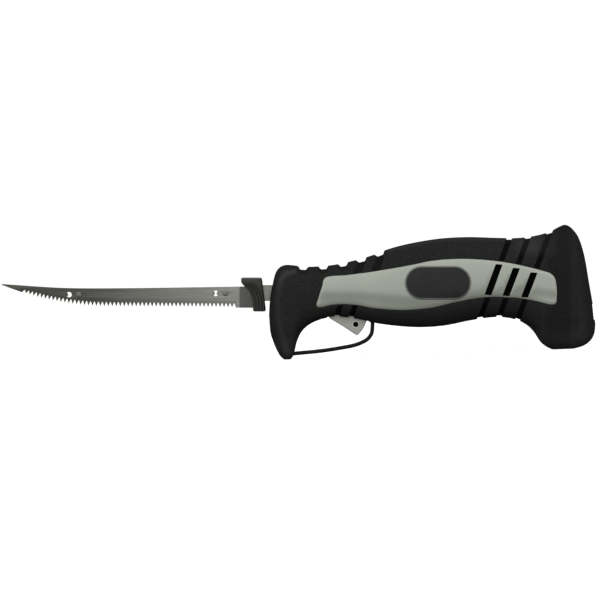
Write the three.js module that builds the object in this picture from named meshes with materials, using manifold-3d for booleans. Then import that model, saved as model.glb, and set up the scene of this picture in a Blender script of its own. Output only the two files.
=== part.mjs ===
// Electric fillet knife: two toothed blades driven to and fro by a motor in a rubber clad handle.
// Millimetres, +Z up. The knife is drawn in its own frame: drive line along X at z = 0, butt at +X,
// left side at -Y. At the end it is tilted so that it stands on the guard tip and the butt.
import * as THREE from "three";
import { mergeVertices } from "three/addons/utils/BufferGeometryUtils.js";
import Module from "manifold-3d";

const wasm = await Module();
wasm.setup();

// Clearances
const FIT = 0.3;
const RUN = 0.25;
const PARTING = 0.1;
const END_ROOM = 1;

// How far joined solids reach into one another, and cuts that reach past everything
const LAP = 0.5;
const FAR = 400;
const HALF_ROOM = 60;
const SIDE_REACH = 5;

// Handle skin
const RUBBER = 3;
const SHELL_WALL = 2.2;
const SQUARENESS = 2.5;
const GROOVE_DEPTH = 1.2;
const NOTCH_DEPTH = 2.2;
const PANEL_PROUD = 0.4;
const BADGE_PROUD = 0.8;
const BADGE_THICKNESS = 1.4;
const FOOT_CUT = 0.8;
const CAVITY_FRONT = 14;
const CAVITY_REAR = 233;
const MOUTH_REAR = 42;

// Handle outline, front to rear: top x, top z, bottom x, bottom z, half width
const STATIONS = [
  [-24, -18, -24, -18, 0],
  [-23.2, -4.4, -23, -30.8, 13],
  [-21.2, 6.8, -20.8, -38.4, 17],
  [-18.8, 16, -17.6, -46, 19.6],
  [-15.6, 20.4, -14, -51.6, 21.2],
  [-11.2, 22.4, -8.8, -54, 22],
  [-5.6, 22.3, -4.4, -50, 21.8],
  [0.8, 21.4, -1.6, -38.8, 21],
  [8, 21, 3.2, -29.6, 19.8],
  [16.8, 21.4, 12, -23.2, 18.8],
  [28, 22.6, 24.8, -19.6, 18.4],
  [40.8, 25.2, 40.8, -20.2, 19],
  [56.8, 29.6, 58.4, -23.6, 20.6],
  [72.8, 35.6, 76.8, -26.2, 22.6],
  [90.4, 40, 96.8, -27.4, 24.2],
  [112.8, 43.6, 116.8, -26, 25],
  [135.2, 44.8, 136.8, -22, 24.8],
  [156.8, 44.2, 155.2, -19.4, 24.2],
  [175.2, 44.1, 168.8, -20.2, 23.8],
  [189.6, 46, 180, -24.2, 23.8],
  [200.8, 49.2, 187.2, -30.4, 24.4],
  [207.2, 52.6, 193.6, -39.6, 25],
  [212.8, 54.6, 201.6, -44.7, 25],
  [218.4, 51.6, 210.4, -45.7, 24.4],
  [224, 43.6, 220, -44.4, 22.8],
  [228.4, 29.2, 228, -42, 20],
  [232, 8.4, 233.6, -37.6, 15.6],
  [235.2, -10, 236.5, -31.6, 9.6],
  [237.1, -24.4, 237.1, -24.4, 0],
];
const RINGS = STATIONS.length - 1;
const AROUND = 16;

// Side panel outline, clockwise from its front top corner
const PANEL = [
  [20.6, 11.9], [38.2, 14.3], [54.6, 16.4], [71, 19], [92.8, 23], [103, 25.2],
  [118.2, 26.9], [134.6, 27.2], [151, 26.2], [167.5, 24], [184, 20.5], [195, 17.6],
  [200.8, 15.6], [204.2, 11.9], [205.6, 5.4], [205.9, -3.4], [205.3, -8], [202.6, -9.4],
  [189.4, -6.7], [178.5, -4.6], [162.1, -3.4], [151, -3.4], [140.1, -4.6], [123.7, -7.8],
  [107.2, -11.7], [90.7, -13.5], [79.8, -13.8], [68.8, -13.1], [58.6, -12.1], [46.4, -9.8],
  [35.8, -9.1], [26, -9.7], [15.8, -11.6], [13.9, -10], [16, -2], [18.4, 5.2],
];
const PANEL_STEPS = 48;
const SLOT_WIDTH = 5.2;
const SLOTS = [
  [159.8, 22.9, 150.8, -1.6],
  [173.6, 19.9, 165.2, -2.3],
  [187.6, 16.3, 180, -3.5],
];
const BADGE_X = 111;
const BADGE_Z = 8.1;
const BADGE_LENGTH = 53;
const BADGE_HEIGHT = 27;
const BADGE_STEPS = 32;

// Grip grooves: top x, top z, bottom x, bottom z of each middle line
const GROOVE_WIDTH = 4.4;
const GROOVES = [
  [171, 52, 143, -26],
  [186.2, 54, 157.8, -26],
  [203.4, 58, 172.6, -28],
];
const NOTCH_WIDTH = 6.6;
const NOTCH_XS = [3.4, 19.5, 35.2, 49.9, 64.2];
const NOTCH_FLOORS = [13.5, 13.8, 16, 14, 15];
const NOTCH_KNEE = 14;
const NOTCH_LEANS = [0, 0, 0, 4.2, 4.2];
const CHIN_WIDTH = 4.6;
const CHIN_XS = [31.6, 43.3];
const CHIN_TOP = -10.6;
const CHIN_LEAN_TOP = 1.5;
const CHIN_LEAN_LOW = -14.8;

// Blades
const BLADE_THICKNESS = 0.8;
const BLADE_GAP = 0.2;
const TOOTH_PITCH = 3.216;
const TOOTH_DEPTH = 3.4;
const FADING_TEETH = 4;
const TIP_TOOTH_SHARE = 0.6;
const SPINE_STEPS = 16;
const SPINE = [
  [-237.62, 7.2], [-223.2, 6.2], [-207.2, 5.1], [-191.2, 4.2],
  [-175.2, 3.8], [-151.2, 3.8], [-111.2, 4.2], [-47.2, 5.2],
];
const EDGE = [
  [-50.4, -11.8], [-79.2, -11.3], [-127.2, -10.9], [-159.2, -10.5],
  [-175.2, -9.4], [-191.2, -7.2], [-207.2, -3.9], [-221.6, 0.6],
];
const TANG_HALF = 6.4;
const TANG_FRONT = -36;
const TANG_END = 20;
const TANG_CHAMFER = 2;
const HEEL_Z = -11.8;
const RIVET_R = 1.2;
const RIVET_HEAD_R = 2.2;
const RIVET_HEAD = 0.6;
const RIVET_CHAMFER = 0.5;
const KEYHOLE_R = 2.2;
const TIP_KEYHOLE_X = -184;
const TIP_KEYHOLE_Z = -1.4;
const HEEL_KEYHOLE_X = -66.6;
const HEEL_KEYHOLE_Z = -0.3;

// Blade bases
const BASE_THICKNESS = 5.2;
const BASE_TONGUE = 1.8;
const BASE_FRONT = [
  [-36.8, -14.8], [-37.2, -6], [-39.2, 0.4], [-42, 4.8],
];
const BASE = [
  [-46.4, 12.4], [-29.6, 12.4], [-26.5, -13], [-27.6, -14.8],
  ...BASE_FRONT, [-46.2, 4.8], [-45.2, 6.4], [-46.6, 8.8],
];
const TONGUE_FRONT = -47.4;
const RIBS = 4;
const RIB_HEIGHT = 0.7;
const RIB_WIDTH = 1.2;
const RIB_INSET = 1.6;
const RIB_PITCH = 2.5;

// Drive
const STROKE = 2.2;
const BAR_WEB = 2;
const SOCKET_FRONT = -2;
const SOCKET_REAR = 24;
const SOCKET_LIP = 1.5;
const STRIP_HALF = 4;
const BEND_HALF = 4.5;
const BEND_SKEW = 1;
const CLIP_THICKNESS = 0.5;
const CLIP_HALF = 3;
const CLIP_INSET = 2;
const NUB_R = 1;
const NUB_FROM_REAR = 8;
const GUIDE_FRONT = -17;
const GUIDE_REAR = -6;
const GUIDE_HALF_HEIGHT = 9.5;
const GUIDE_HALF_WIDTH = 5.5;
const BAR_GUIDE_FRONT = 4;
const BAR_GUIDE_REAR = 14;
const BAR_GUIDE_RIM = 2.4;

// Worm gear
const MODULE = 1;
const TEETH = 26;
const STARTS = 2;
const WORM_R = 4;
const BACKLASH = 0.34;
const ADDENDUM = 0.9;
const DEDENDUM = 1.25;
const WORM_CORE_DEPTH = 1.2;
const THREAD_ROOT_DEPTH = 1.4;
const TURN_STEPS = 8;
const FLANK = Math.tan(THREE.MathUtils.degToRad(20));
const GEAR_HALF = 3;
const CRANK_X = 82;
const MOTOR_Z = 12;
const WORM_LENGTH = 15;
const DISC_R = 5.6;
const DISC_LENGTH = 4.2;
const YOKE_RIM = 3.5;
const YOKE_PLATE = 2.5;
const YOKE_ROOM = 0.8;
const AXLE_R = 2;
const AXLE_TAIL = 0.4;
const AXLE_CLIP = 0.8;
const AXLE_CLIP_RIM = 1.8;
const FRAME_SHEET = 1.5;
const FRAME_AHEAD = 11;
const FRAME_BELOW = 7;
const FRAME_ABOVE = 13;

// Motor
const MOTOR_R = 17;
const CAN_WALL = 1.2;
const CAN_LENGTH = 50;
const MAGNET = 3.2;
const MAGNET_INSET = 2;
const MAGNET_HALF_ANGLE = 1.05;
const ARC_STEPS = 8;
const AIR_GAP = 0.6;
const WINDING_STEP = 2.5;
const WINDING_REACH = 3;
const SHAFT_R = 1.5;
const COMMUTATOR_R = 4.5;
const COMMUTATOR_LENGTH = 8;
const COMMUTATOR_INSET = 3.8;
const BRUSH_HALF = 2.2;
const BRUSH_INSET = 1;
const HOLDER_WALL = 1.5;
const HOLDER_ROOM = 3;
const END_CAP = 6;
const FAN_R = 15;
const FAN_LENGTH = 7;
const FAN_BLADES = 8;
const FAN_PLATE = 1.2;
const FAN_HUB_R = 4.5;
const FAN_GAP = 1.5;

// Trigger and switch, placed from the trigger's pivot
const PIVOT_X = 29;
const PIVOT_Z = -12.5;
const TRIGGER_FROM_PIVOT = [
  [-3, 1.5], [-1.5, 2.8], [1.5, 2.8], [3, 1], [3.6, -0.5],
  [17, -2.7], [25, -5.4], [25.2, -9.9], [22.4, -15.9], [18.6, -20.7],
  [17.4, -21.3], [16.2, -20.9], [6, -14.1], [-5, -7.5], [-4.6, -1.5],
];
const TRIGGER_HALF_WIDTH = 5.5;
const TRIGGER_ROOM = 0.6;
const TRIGGER_SWING = 1.8;
const PIN_R = 1.5;
const PIN_HALF = 9;
const PIN_SEAT_HALF = 4.2;
const PIN_SEAT_DROP = 5;
const LOCK_FROM_PIVOT = [16.4, -12.6];
const LOCK_R = 2;
const LOCK_PROUD = 0.4;
const LOCK_TRAVEL = 2.3;
const DIMPLE_R = 1;
const DIMPLE_DEPTH = 0.5;
const SWITCH_LENGTH = 13;
const SWITCH_HEIGHT = 6.6;
const SWITCH_HALF_WIDTH = 3;
const SWITCH_WALL = 1.4;
const SWITCH_FROM_PIVOT = [4, 0.7];
const SEAT_INSET = 1;
const TAG_LENGTH = 1.5;
const TAG_HALF = 0.6;
const TAG_Y = 1.8;
const TAG_RISE = 1.3;
const TAG_THICKNESS = 0.6;
const PLUNGER_FROM_PIVOT = 11;
const PLUNGER_R = 1;
const PLUNGER_REACH = 2.1;
const PLUNGER_TAIL = 2.4;
const SPRING_FROM_PIVOT = [22.4, 3.9];
const SPRING_R = 1.6;
const SPRING_WIRE = 0.4;
const SPRING_CURLS = 5;
const CURL_STEPS = 8;
const WIRE_SIDES = 5;
const SHELF = 1.4;
const SHELF_HALF = 3;

// Finger guard strap, from the front guard to the handle
const STRAP = [
  [-6.6, -48.7], [-1.6, -48.2], [16.8, -46.4], [32.8, -44], [44.8, -41.6],
  [53.2, -38], [57.2, -34], [58.6, -29.4], [58.8, -21.6],
];
const STRAP_STEPS = 24;
const STRAP_THICKNESS = 3.2;
const STRAP_HALF_WIDTH = 4.5;

// Power inlet in the butt
const INLET_Z = -15;
const INLET_FACE = 232.4;
const INLET_LENGTH = 18;
const INLET_HALF_WIDTH = 10.5;
const INLET_HALF_HEIGHT = 6.2;
const SOCKET_DEPTH = 13;
const SOCKET_HALF_WIDTH = 7.6;
const SOCKET_HALF_HEIGHT = 4.2;
const INLET_PIN_R = 1.2;
const INLET_PIN_Y = 3.9;
const INLET_PIN_LENGTH = 10;
const BOARD_GAP = 8.4;
const BOARD_THICKNESS = 1.6;
const BOARD_HALF_WIDTH = 12;
const BOARD_HALF_HEIGHT = 11;
const PIN_TAIL = 1;
const CAPACITOR_R = 4.5;
const CAPACITOR_LENGTH = 9;
const CAPACITOR_Y = -5;
const CAPACITOR_DROP = 6;
const BRIDGE_LENGTH = 4;
const BRIDGE_YS = [2, 9];
const BRIDGE_DROPS = [9, 4];
const WIRE_R = 0.9;
const WIRE_STEPS = 16;
const WIRE_ROOM = 2.5;
const WIRE_SPREAD = 9;
const WIRE_FALL = 16;

// Screws: x, z, distance of the head seat from the middle
const SCREW_R = 1.5;
const SCREW_HEAD_R = 3;
const SCREW_HEAD = 2;
const SCREW_CROWN = 0.6;
const SCREW_BITE = 9;
const SCREW_POINT = 1.2;
const SCREW_POINT_R = 0.6;
const CROSS_REACH = 1.5;
const CROSS_HALF = 0.35;
const CROSS_SINK = 1.2;
const ACCESS_R = 3.8;
const BOSS_R = 4.6;
const SCREWS = [
  [-8, 15.5, 7],
  [-9, -40, 9],
  [122, 34, 11],
  [188, 36, 10],
  [206, -31, 11],
];

// Seats inside the shells
const PAD_INSET = 6;
const PAD_WIDTH = 3;
const PAD_HALF = 4;
const RAIL_AHEAD = 8;
const RAIL_INSET = 2;
const RAIL_RISE = [3, 6];

// A closed geometry as a solid that can be joined and cut
function solid(geometry) {
  const bare = geometry.clone();
  bare.deleteAttribute("normal");
  bare.deleteAttribute("uv");
  const merged = mergeVertices(bare, 1e-4);
  const vertProperties = new Float32Array(merged.attributes.position.array);
  const triVerts = new Uint32Array(merged.index.array);
  const made = new wasm.Manifold(new wasm.Mesh({ numProp: 3, vertProperties, triVerts }));
  if (made.volume() >= 0) return made;
  for (let i = 0; i < triVerts.length; i += 3) {
    [triVerts[i], triVerts[i + 1]] = [triVerts[i + 1], triVerts[i]];
  }
  return new wasm.Manifold(new wasm.Mesh({ numProp: 3, vertProperties, triVerts }));
}

function box(xs, ys, zs) {
  const block = new THREE.BoxGeometry(xs[1] - xs[0], ys[1] - ys[0], zs[1] - zs[0]);
  return solid(block.translate((xs[0] + xs[1]) / 2, (ys[0] + ys[1]) / 2, (zs[0] + zs[1]) / 2));
}

// A range of y on one side: side -1 is left, +1 is right
function sided(side, near, far) {
  return side < 0 ? [-far, -near] : [near, far];
}

// A cylinder along x, y or z; "at" holds its two other coordinates
function rod(axis, radius, ends, at, sides = 16) {
  const length = ends[1] - ends[0];
  const middle = (ends[0] + ends[1]) / 2;
  const cylinder = new THREE.CylinderGeometry(radius, radius, length, sides);
  if (axis === "x") return solid(cylinder.rotateZ(Math.PI / 2).translate(middle, at[0], at[1]));
  if (axis === "y") return solid(cylinder.translate(at[0], middle, at[1]));
  return solid(cylinder.rotateX(Math.PI / 2).translate(at[0], at[1], middle));
}

// An outline in x and z, given thickness along y
function plate(points, ys) {
  const shape = new THREE.Shape(points.map((p) => new THREE.Vector2(p[0], p[1])));
  const slab = new THREE.ExtrudeGeometry(shape, { depth: ys[1] - ys[0], bevelEnabled: false });
  return solid(slab.rotateX(Math.PI / 2).translate(0, ys[1], 0));
}

// An outline in x and y, given thickness along z
function slabUp(points, zs) {
  const shape = new THREE.Shape(points.map((p) => new THREE.Vector2(p[0], p[1])));
  const slab = new THREE.ExtrudeGeometry(shape, { depth: zs[1] - zs[0], bevelEnabled: false });
  return solid(slab.translate(0, 0, zs[0]));
}

// A profile of radius and y, turned about the y axis
function turned(profile, sides = 10) {
  const points = profile.map((p) => new THREE.Vector2(p[0], p[1]));
  return solid(new THREE.LatheGeometry(points, sides));
}

function smoothClosed(points, count) {
  const corners = points.map((p) => new THREE.Vector3(p[0], p[1], 0));
  const loop = new THREE.CatmullRomCurve3(corners, true, "centripetal");
  return loop.getPoints(count).slice(0, -1).map((p) => [p.x, p.y]);
}

// A closed clockwise outline moved outwards by a distance
function grown(points, distance) {
  return points.map((p, i) => {
    const before = points[(i + points.length - 1) % points.length];
    const after = points[(i + 1) % points.length];
    const run = new THREE.Vector2(after[0] - before[0], after[1] - before[1]).normalize();
    return [p[0] - run.y * distance, p[1] + run.x * distance];
  });
}

// A band of even width about a line of points
function band(points, width) {
  const left = [];
  const right = [];
  points.forEach((p, i) => {
    const before = points[Math.max(i - 1, 0)];
    const after = points[Math.min(i + 1, points.length - 1)];
    const run = new THREE.Vector2(after[0] - before[0], after[1] - before[1]).normalize();
    left.push([p[0] - (run.y * width) / 2, p[1] + (run.x * width) / 2]);
    right.unshift([p[0] + (run.y * width) / 2, p[1] - (run.x * width) / 2]);
  });
  return left.concat(right);
}

function union(pieces) {
  return pieces.reduce((whole, piece) => whole.add(piece));
}

function without(whole, cutters) {
  return cutters.reduce((rest, cutter) => rest.subtract(cutter), whole);
}

// Handle surface as a grid of rings between two end points, with outward normals
const topLine = new THREE.SplineCurve(STATIONS.map((s) => new THREE.Vector2(s[0], s[1])));
const bottomLine = new THREE.SplineCurve(STATIONS.map((s) => new THREE.Vector2(s[2], s[3])));
const widthLine = new THREE.SplineCurve(STATIONS.map((s, i) => new THREE.Vector2(i, s[4])));

function rounded(value) {
  return Math.sign(value) * Math.abs(value) ** (2 / SQUARENESS);
}

function handlePoint(along, turn) {
  const top = topLine.getPoint(along);
  const bottom = bottomLine.getPoint(along);
  const up = 0.5 + 0.5 * rounded(Math.sin(turn));
  const out = widthLine.getPoint(along).y * rounded(Math.cos(turn));
  const middle = bottom.lerp(top, up);
  return new THREE.Vector3(middle.x, out, middle.y);
}

function handleRing(ring) {
  const points = [];
  for (let j = 0; j < AROUND; j += 1) {
    points.push(handlePoint(ring / RINGS, (j / AROUND) * 2 * Math.PI));
  }
  return points;
}

function middleOf(points) {
  return points.reduce((sum, p) => sum.add(p), new THREE.Vector3()).divideScalar(points.length);
}

// Triangles over a row of closed rings with one point at each end
function closedGrid(start, rings, end) {
  const points = [start, ...rings.flat(), end];
  const count = rings[0].length;
  const index = [];
  for (let j = 0; j < count; j += 1) {
    const next = (j + 1) % count;
    index.push(0, 1 + j, 1 + next);
    for (let k = 0; k + 1 < rings.length; k += 1) {
      const here = 1 + k * count;
      index.push(here + j, here + count + j, here + next);
      index.push(here + next, here + count + j, here + count + next);
    }
    const last = 1 + (rings.length - 1) * count;
    index.push(points.length - 1, last + next, last + j);
  }
  const geometry = new THREE.BufferGeometry().setFromPoints(points);
  geometry.setIndex(index);
  return geometry;
}

const handleRings = [];
for (let k = 1; k < RINGS; k += 1) handleRings.push(handleRing(k));
const handleStart = handlePoint(0, 0);
const handleEnd = handlePoint(1, 0);
const handleSkin = closedGrid(handleStart, handleRings, handleEnd);
handleSkin.computeVertexNormals();
const skinNormal = handleSkin.attributes.normal;
const skinTurn = Math.sign(-skinNormal.getX(0));

// The handle surface moved outwards by a distance, between two rings
function handle(distance, first = 0, last = RINGS) {
  const place = handleSkin.attributes.position;
  const moved = (i) => {
    const normal = new THREE.Vector3().fromBufferAttribute(skinNormal, i);
    const point = new THREE.Vector3().fromBufferAttribute(place, i);
    return point.addScaledVector(normal, skinTurn * distance);
  };
  const rings = [];
  for (let k = Math.max(first, 1); k <= Math.min(last, RINGS - 1); k += 1) {
    const ring = [];
    for (let j = 0; j < AROUND; j += 1) ring.push(moved(1 + (k - 1) * AROUND + j));
    rings.push(ring);
  }
  const start = first === 0 ? moved(0) : middleOf(rings[0]);
  const end = last === RINGS ? moved(place.count - 1) : middleOf(rings[rings.length - 1]);
  return solid(closedGrid(start, rings, end));
}

// Tilt that puts the guard tip and the butt on one floor, and the floor itself
const lowest = (stations) => stations.reduce((low, s) => (s[3] < low[3] ? s : low));
const guardTip = lowest(STATIONS.slice(0, RINGS / 2));
const buttLow = lowest(STATIONS.slice(RINGS / 2));
const TILT = Math.atan2(buttLow[3] - guardTip[3], buttLow[2] - guardTip[2]);
const tilted = handleSkin.clone().rotateY(TILT);
tilted.computeBoundingBox();
const floorZ = tilted.boundingBox.min.z + FOOT_CUT;
const belowFloor = new THREE.BoxGeometry(2 * FAR, 2 * HALF_ROOM, 2 * HALF_ROOM);
const floorCut = solid(belowFloor.translate(0, 0, floorZ - HALF_ROOM).rotateY(-TILT));

// Sizes that follow from the ones above
const heelTop = SPINE[SPINE.length - 1][1];
const bladeNear = BLADE_GAP / 2;
const bladeFar = bladeNear + BLADE_THICKNESS;
const tangRoom = TANG_HALF + RUN;
const webNear = bladeFar + RUN;
const webFar = webNear + BAR_WEB;
const socketHalf = tangRoom + SOCKET_LIP;
const clipFar = webFar + RUN + CLIP_THICKNESS;
const gearR = (MODULE * TEETH) / 2;
const crankZ = MOTOR_Z - gearR - WORM_R;
const yokeNear = GEAR_HALF + YOKE_ROOM;
const yokeFar = yokeNear + YOKE_PLATE;
const discFar = GEAR_HALF + DISC_LENGTH;
const frameNear = Math.max(discFar, yokeFar) + FIT;
const frameFar = frameNear + FRAME_SHEET;
const windowHalfX = DISC_R + 2 * STROKE + FIT;
const windowHalfZ = DISC_R + STROKE + FIT;
const yokeRear = CRANK_X + windowHalfX + YOKE_RIM;
const frameFront = CRANK_X - FRAME_AHEAD;
const frameBack = yokeRear + STROKE + END_ROOM;
const motorFront = frameBack + FRAME_SHEET + FIT;
const motorRear = motorFront + CAN_LENGTH;
const capRear = motorRear + FIT + END_CAP;
const fanFront = capRear + FAN_GAP;
const fanRear = fanFront + FAN_LENGTH;
const shellOut = -RUBBER - FIT;
const cavityOut = shellOut - SHELL_WALL;
const cavityFirst = STATIONS.findIndex((s) => s[0] > CAVITY_FRONT);
const cavityLast = STATIONS.findLastIndex((s) => s[0] < CAVITY_REAR);
const lockAt = [PIVOT_X + LOCK_FROM_PIVOT[0], PIVOT_Z + LOCK_FROM_PIVOT[1]];
const switchFront = PIVOT_X + SWITCH_FROM_PIVOT[0];
const switchRear = switchFront + SWITCH_LENGTH;
const switchBottom = PIVOT_Z + SWITCH_FROM_PIVOT[1];
const switchTop = switchBottom + SWITCH_HEIGHT;
const plungerAt = [PIVOT_X + PLUNGER_FROM_PIVOT, 0];
const springX = PIVOT_X + SPRING_FROM_PIVOT[0];
const springTop = PIVOT_Z + SPRING_FROM_PIVOT[1];
const trigger = TRIGGER_FROM_PIVOT.map((p) => [PIVOT_X + p[0], PIVOT_Z + p[1]]);
const triggerXs = trigger.map((p) => p[0]);
const triggerRoom = TRIGGER_HALF_WIDTH + TRIGGER_ROOM;
const triggerTop = Math.max(...trigger.map((p) => p[1])) + TRIGGER_ROOM;
const inletRear = INLET_FACE - INLET_LENGTH;
const boardX = inletRear - BOARD_GAP;

// Materials
function finish(color, roughness, metalness) {
  return new THREE.MeshStandardMaterial({ color, roughness, metalness });
}
const rubberBlack = finish(0x222222, 0.8, 0);
const shellBlack = finish(0x141414, 0.6, 0);
const sageGrey = finish(0x9a9e92, 0.5, 0);
const paleGrey = finish(0xa8a89e, 0.5, 0);
const plaqueDark = finish(0x2b2d2a, 0.4, 0);
const bladeSteel = finish(0x8a8c86, 0.3, 1);
const baseOlive = finish(0x34362f, 0.6, 0);
const zincSteel = finish(0x9aa0a4, 0.4, 1);
const springSteel = finish(0xb0b4b8, 0.3, 1);
const acetalWhite = finish(0xe6e4dc, 0.5, 0);
const brass = finish(0xb08d45, 0.35, 1);
const copper = finish(0xa8623c, 0.4, 1);
const magnetGrey = finish(0x3a3a3c, 0.7, 0);
const carbonBlack = finish(0x1c1c1c, 0.9, 0);
const boardGreen = finish(0x2e5a3a, 0.6, 0);
const wireRed = finish(0x9c2a22, 0.6, 0);
const wireBlue = finish(0x2b4a80, 0.6, 0);
const wireBrown = finish(0x5a3a26, 0.6, 0);

const knife = new THREE.Group();
knife.name = "knife";

function part(name, piece, material) {
  const mesh = piece.getMesh();
  const geometry = new THREE.BufferGeometry();
  const place = new THREE.BufferAttribute(new Float32Array(mesh.vertProperties), 3);
  geometry.setAttribute("position", place);
  geometry.setIndex(Array.from(mesh.triVerts));
  geometry.computeVertexNormals();
  const made = new THREE.Mesh(geometry, material);
  made.name = name;
  knife.add(made);
  return made;
}

// Blades: a spine curve, a toothed edge, a straight heel and a tang
function bladeOutline() {
  const spine = new THREE.SplineCurve(SPINE.map((p) => new THREE.Vector2(p[0], p[1])));
  const edge = new THREE.SplineCurve(EDGE.map((p) => new THREE.Vector2(p[0], p[1])));
  const points = spine.getPoints(SPINE_STEPS).map((p) => [p.x, p.y]);
  const tangRear = TANG_END - TANG_CHAMFER;
  const tangCorner = TANG_HALF - TANG_CHAMFER;
  points.push([TANG_FRONT - TANG_CHAMFER, heelTop], [TANG_FRONT, TANG_HALF]);
  points.push([tangRear, TANG_HALF], [TANG_END, tangCorner]);
  points.push([TANG_END, -tangCorner], [tangRear, -TANG_HALF]);
  points.push([TANG_FRONT, -TANG_HALF], [TANG_FRONT, HEEL_Z]);
  const teeth = Math.round(edge.getLength() / TOOTH_PITCH);
  const tips = edge.getSpacedPoints(teeth);
  for (let i = 0; i < teeth; i += 1) {
    const run = tips[i + 1].clone().sub(tips[i]);
    const inward = new THREE.Vector2(run.y, -run.x).normalize();
    const faded = (1 - TIP_TOOTH_SHARE) * Math.min(1, (teeth - i) / FADING_TEETH);
    const depth = TOOTH_DEPTH * (TIP_TOOTH_SHARE + faded);
    points.push([tips[i].x, tips[i].y]);
    const gullet = tips[i].clone().addScaledVector(run, 0.5).addScaledVector(inward, depth);
    points.push([gullet.x, gullet.y]);
  }
  points.push([tips[teeth].x, tips[teeth].y]);
  return points;
}

// Slot for a rivet that the other blade carries past by both strokes
const rivetRun = 2 * STROKE;
const tipRivetX = TIP_KEYHOLE_X + rivetRun + KEYHOLE_R + RIVET_R;
const heelRivetX = HEEL_KEYHOLE_X + rivetRun + KEYHOLE_R + RIVET_R;
const rivetPlaces = [
  { name: "tip_rivet", x: tipRivetX, z: TIP_KEYHOLE_Z, hole: TIP_KEYHOLE_X },
  { name: "heel_rivet", x: heelRivetX, z: HEEL_KEYHOLE_Z, hole: HEEL_KEYHOLE_X },
];
const bladeShape = bladeOutline();
for (const side of [-1, 1]) {
  let blade = plate(bladeShape, sided(side, bladeNear, bladeFar));
  for (const place of rivetPlaces) {
    const through = sided(side, 0, 2 * bladeFar);
    blade = blade.subtract(rod("y", KEYHOLE_R, through, [place.hole, place.z], 20));
    if (side < 0) {
      const slotEnd = place.x + rivetRun + RUN;
      const slotHalf = RIVET_R + RUN;
      const slotZs = [place.z - slotHalf, place.z + slotHalf];
      blade = blade.subtract(box([place.hole, slotEnd], through, slotZs));
      blade = blade.subtract(rod("y", slotHalf, through, [slotEnd, place.z], 20));
    } else {
      blade = blade.subtract(rod("y", RIVET_R + PARTING, through, [place.x, place.z], 20));
    }
  }
  part(side < 0 ? "blade_left" : "blade_right", blade, bladeSteel);
}

// Rivets: held in the right blade, headed over the left blade's slot
for (const place of rivetPlaces) {
  const reach = bladeFar + PARTING;
  const top = reach + RIVET_HEAD;
  const crownR = RIVET_HEAD_R - RIVET_CHAMFER;
  const profile = [
    [0, -top], [crownR, -top], [RIVET_HEAD_R, -reach], [RIVET_R, -reach],
    [RIVET_R, reach], [RIVET_HEAD_R, reach], [crownR, top], [0, top],
  ];
  const rivet = part(place.name, turned(profile), zincSteel);
  rivet.position.set(place.x, 0, place.z);
}

// Blade bases: ribbed blocks moulded round each blade's heel
for (const side of [-1, 1]) {
  const far = bladeNear + BASE_THICKNESS;
  const tongueYs = sided(side, bladeNear, bladeFar + BASE_TONGUE);
  const block = plate(BASE, sided(side, bladeNear, far));
  const tongue = box([TONGUE_FRONT, TANG_FRONT], tongueYs, [HEEL_Z, heelTop]);
  const ribs = [];
  for (let i = 0; i < RIBS; i += 1) {
    const line = BASE_FRONT.map((p) => [p[0] + RIB_INSET + i * RIB_PITCH, p[1]]);
    ribs.push(plate(band(line, RIB_WIDTH), sided(side, far - LAP, far + RIB_HEIGHT)));
  }
  const ribLimit = plate(BASE, sided(side, bladeNear, far + 2 * RIB_HEIGHT));
  const bladeYs = sided(side, 0, bladeFar + PARTING);
  const heel = box([-FAR, TANG_FRONT + FIT], bladeYs, [HEEL_Z - FIT, heelTop + FIT]);
  const tangXs = [TANG_FRONT - TANG_CHAMFER - FIT, FAR];
  const tang = box(tangXs, bladeYs, [-TANG_HALF - FIT, TANG_HALF + FIT]);
  const ribbed = union([block, tongue, union(ribs).intersect(ribLimit)]);
  part(side < 0 ? "blade_base_left" : "blade_base_right", without(ribbed, [heel, tang]), baseOlive);
}

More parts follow.
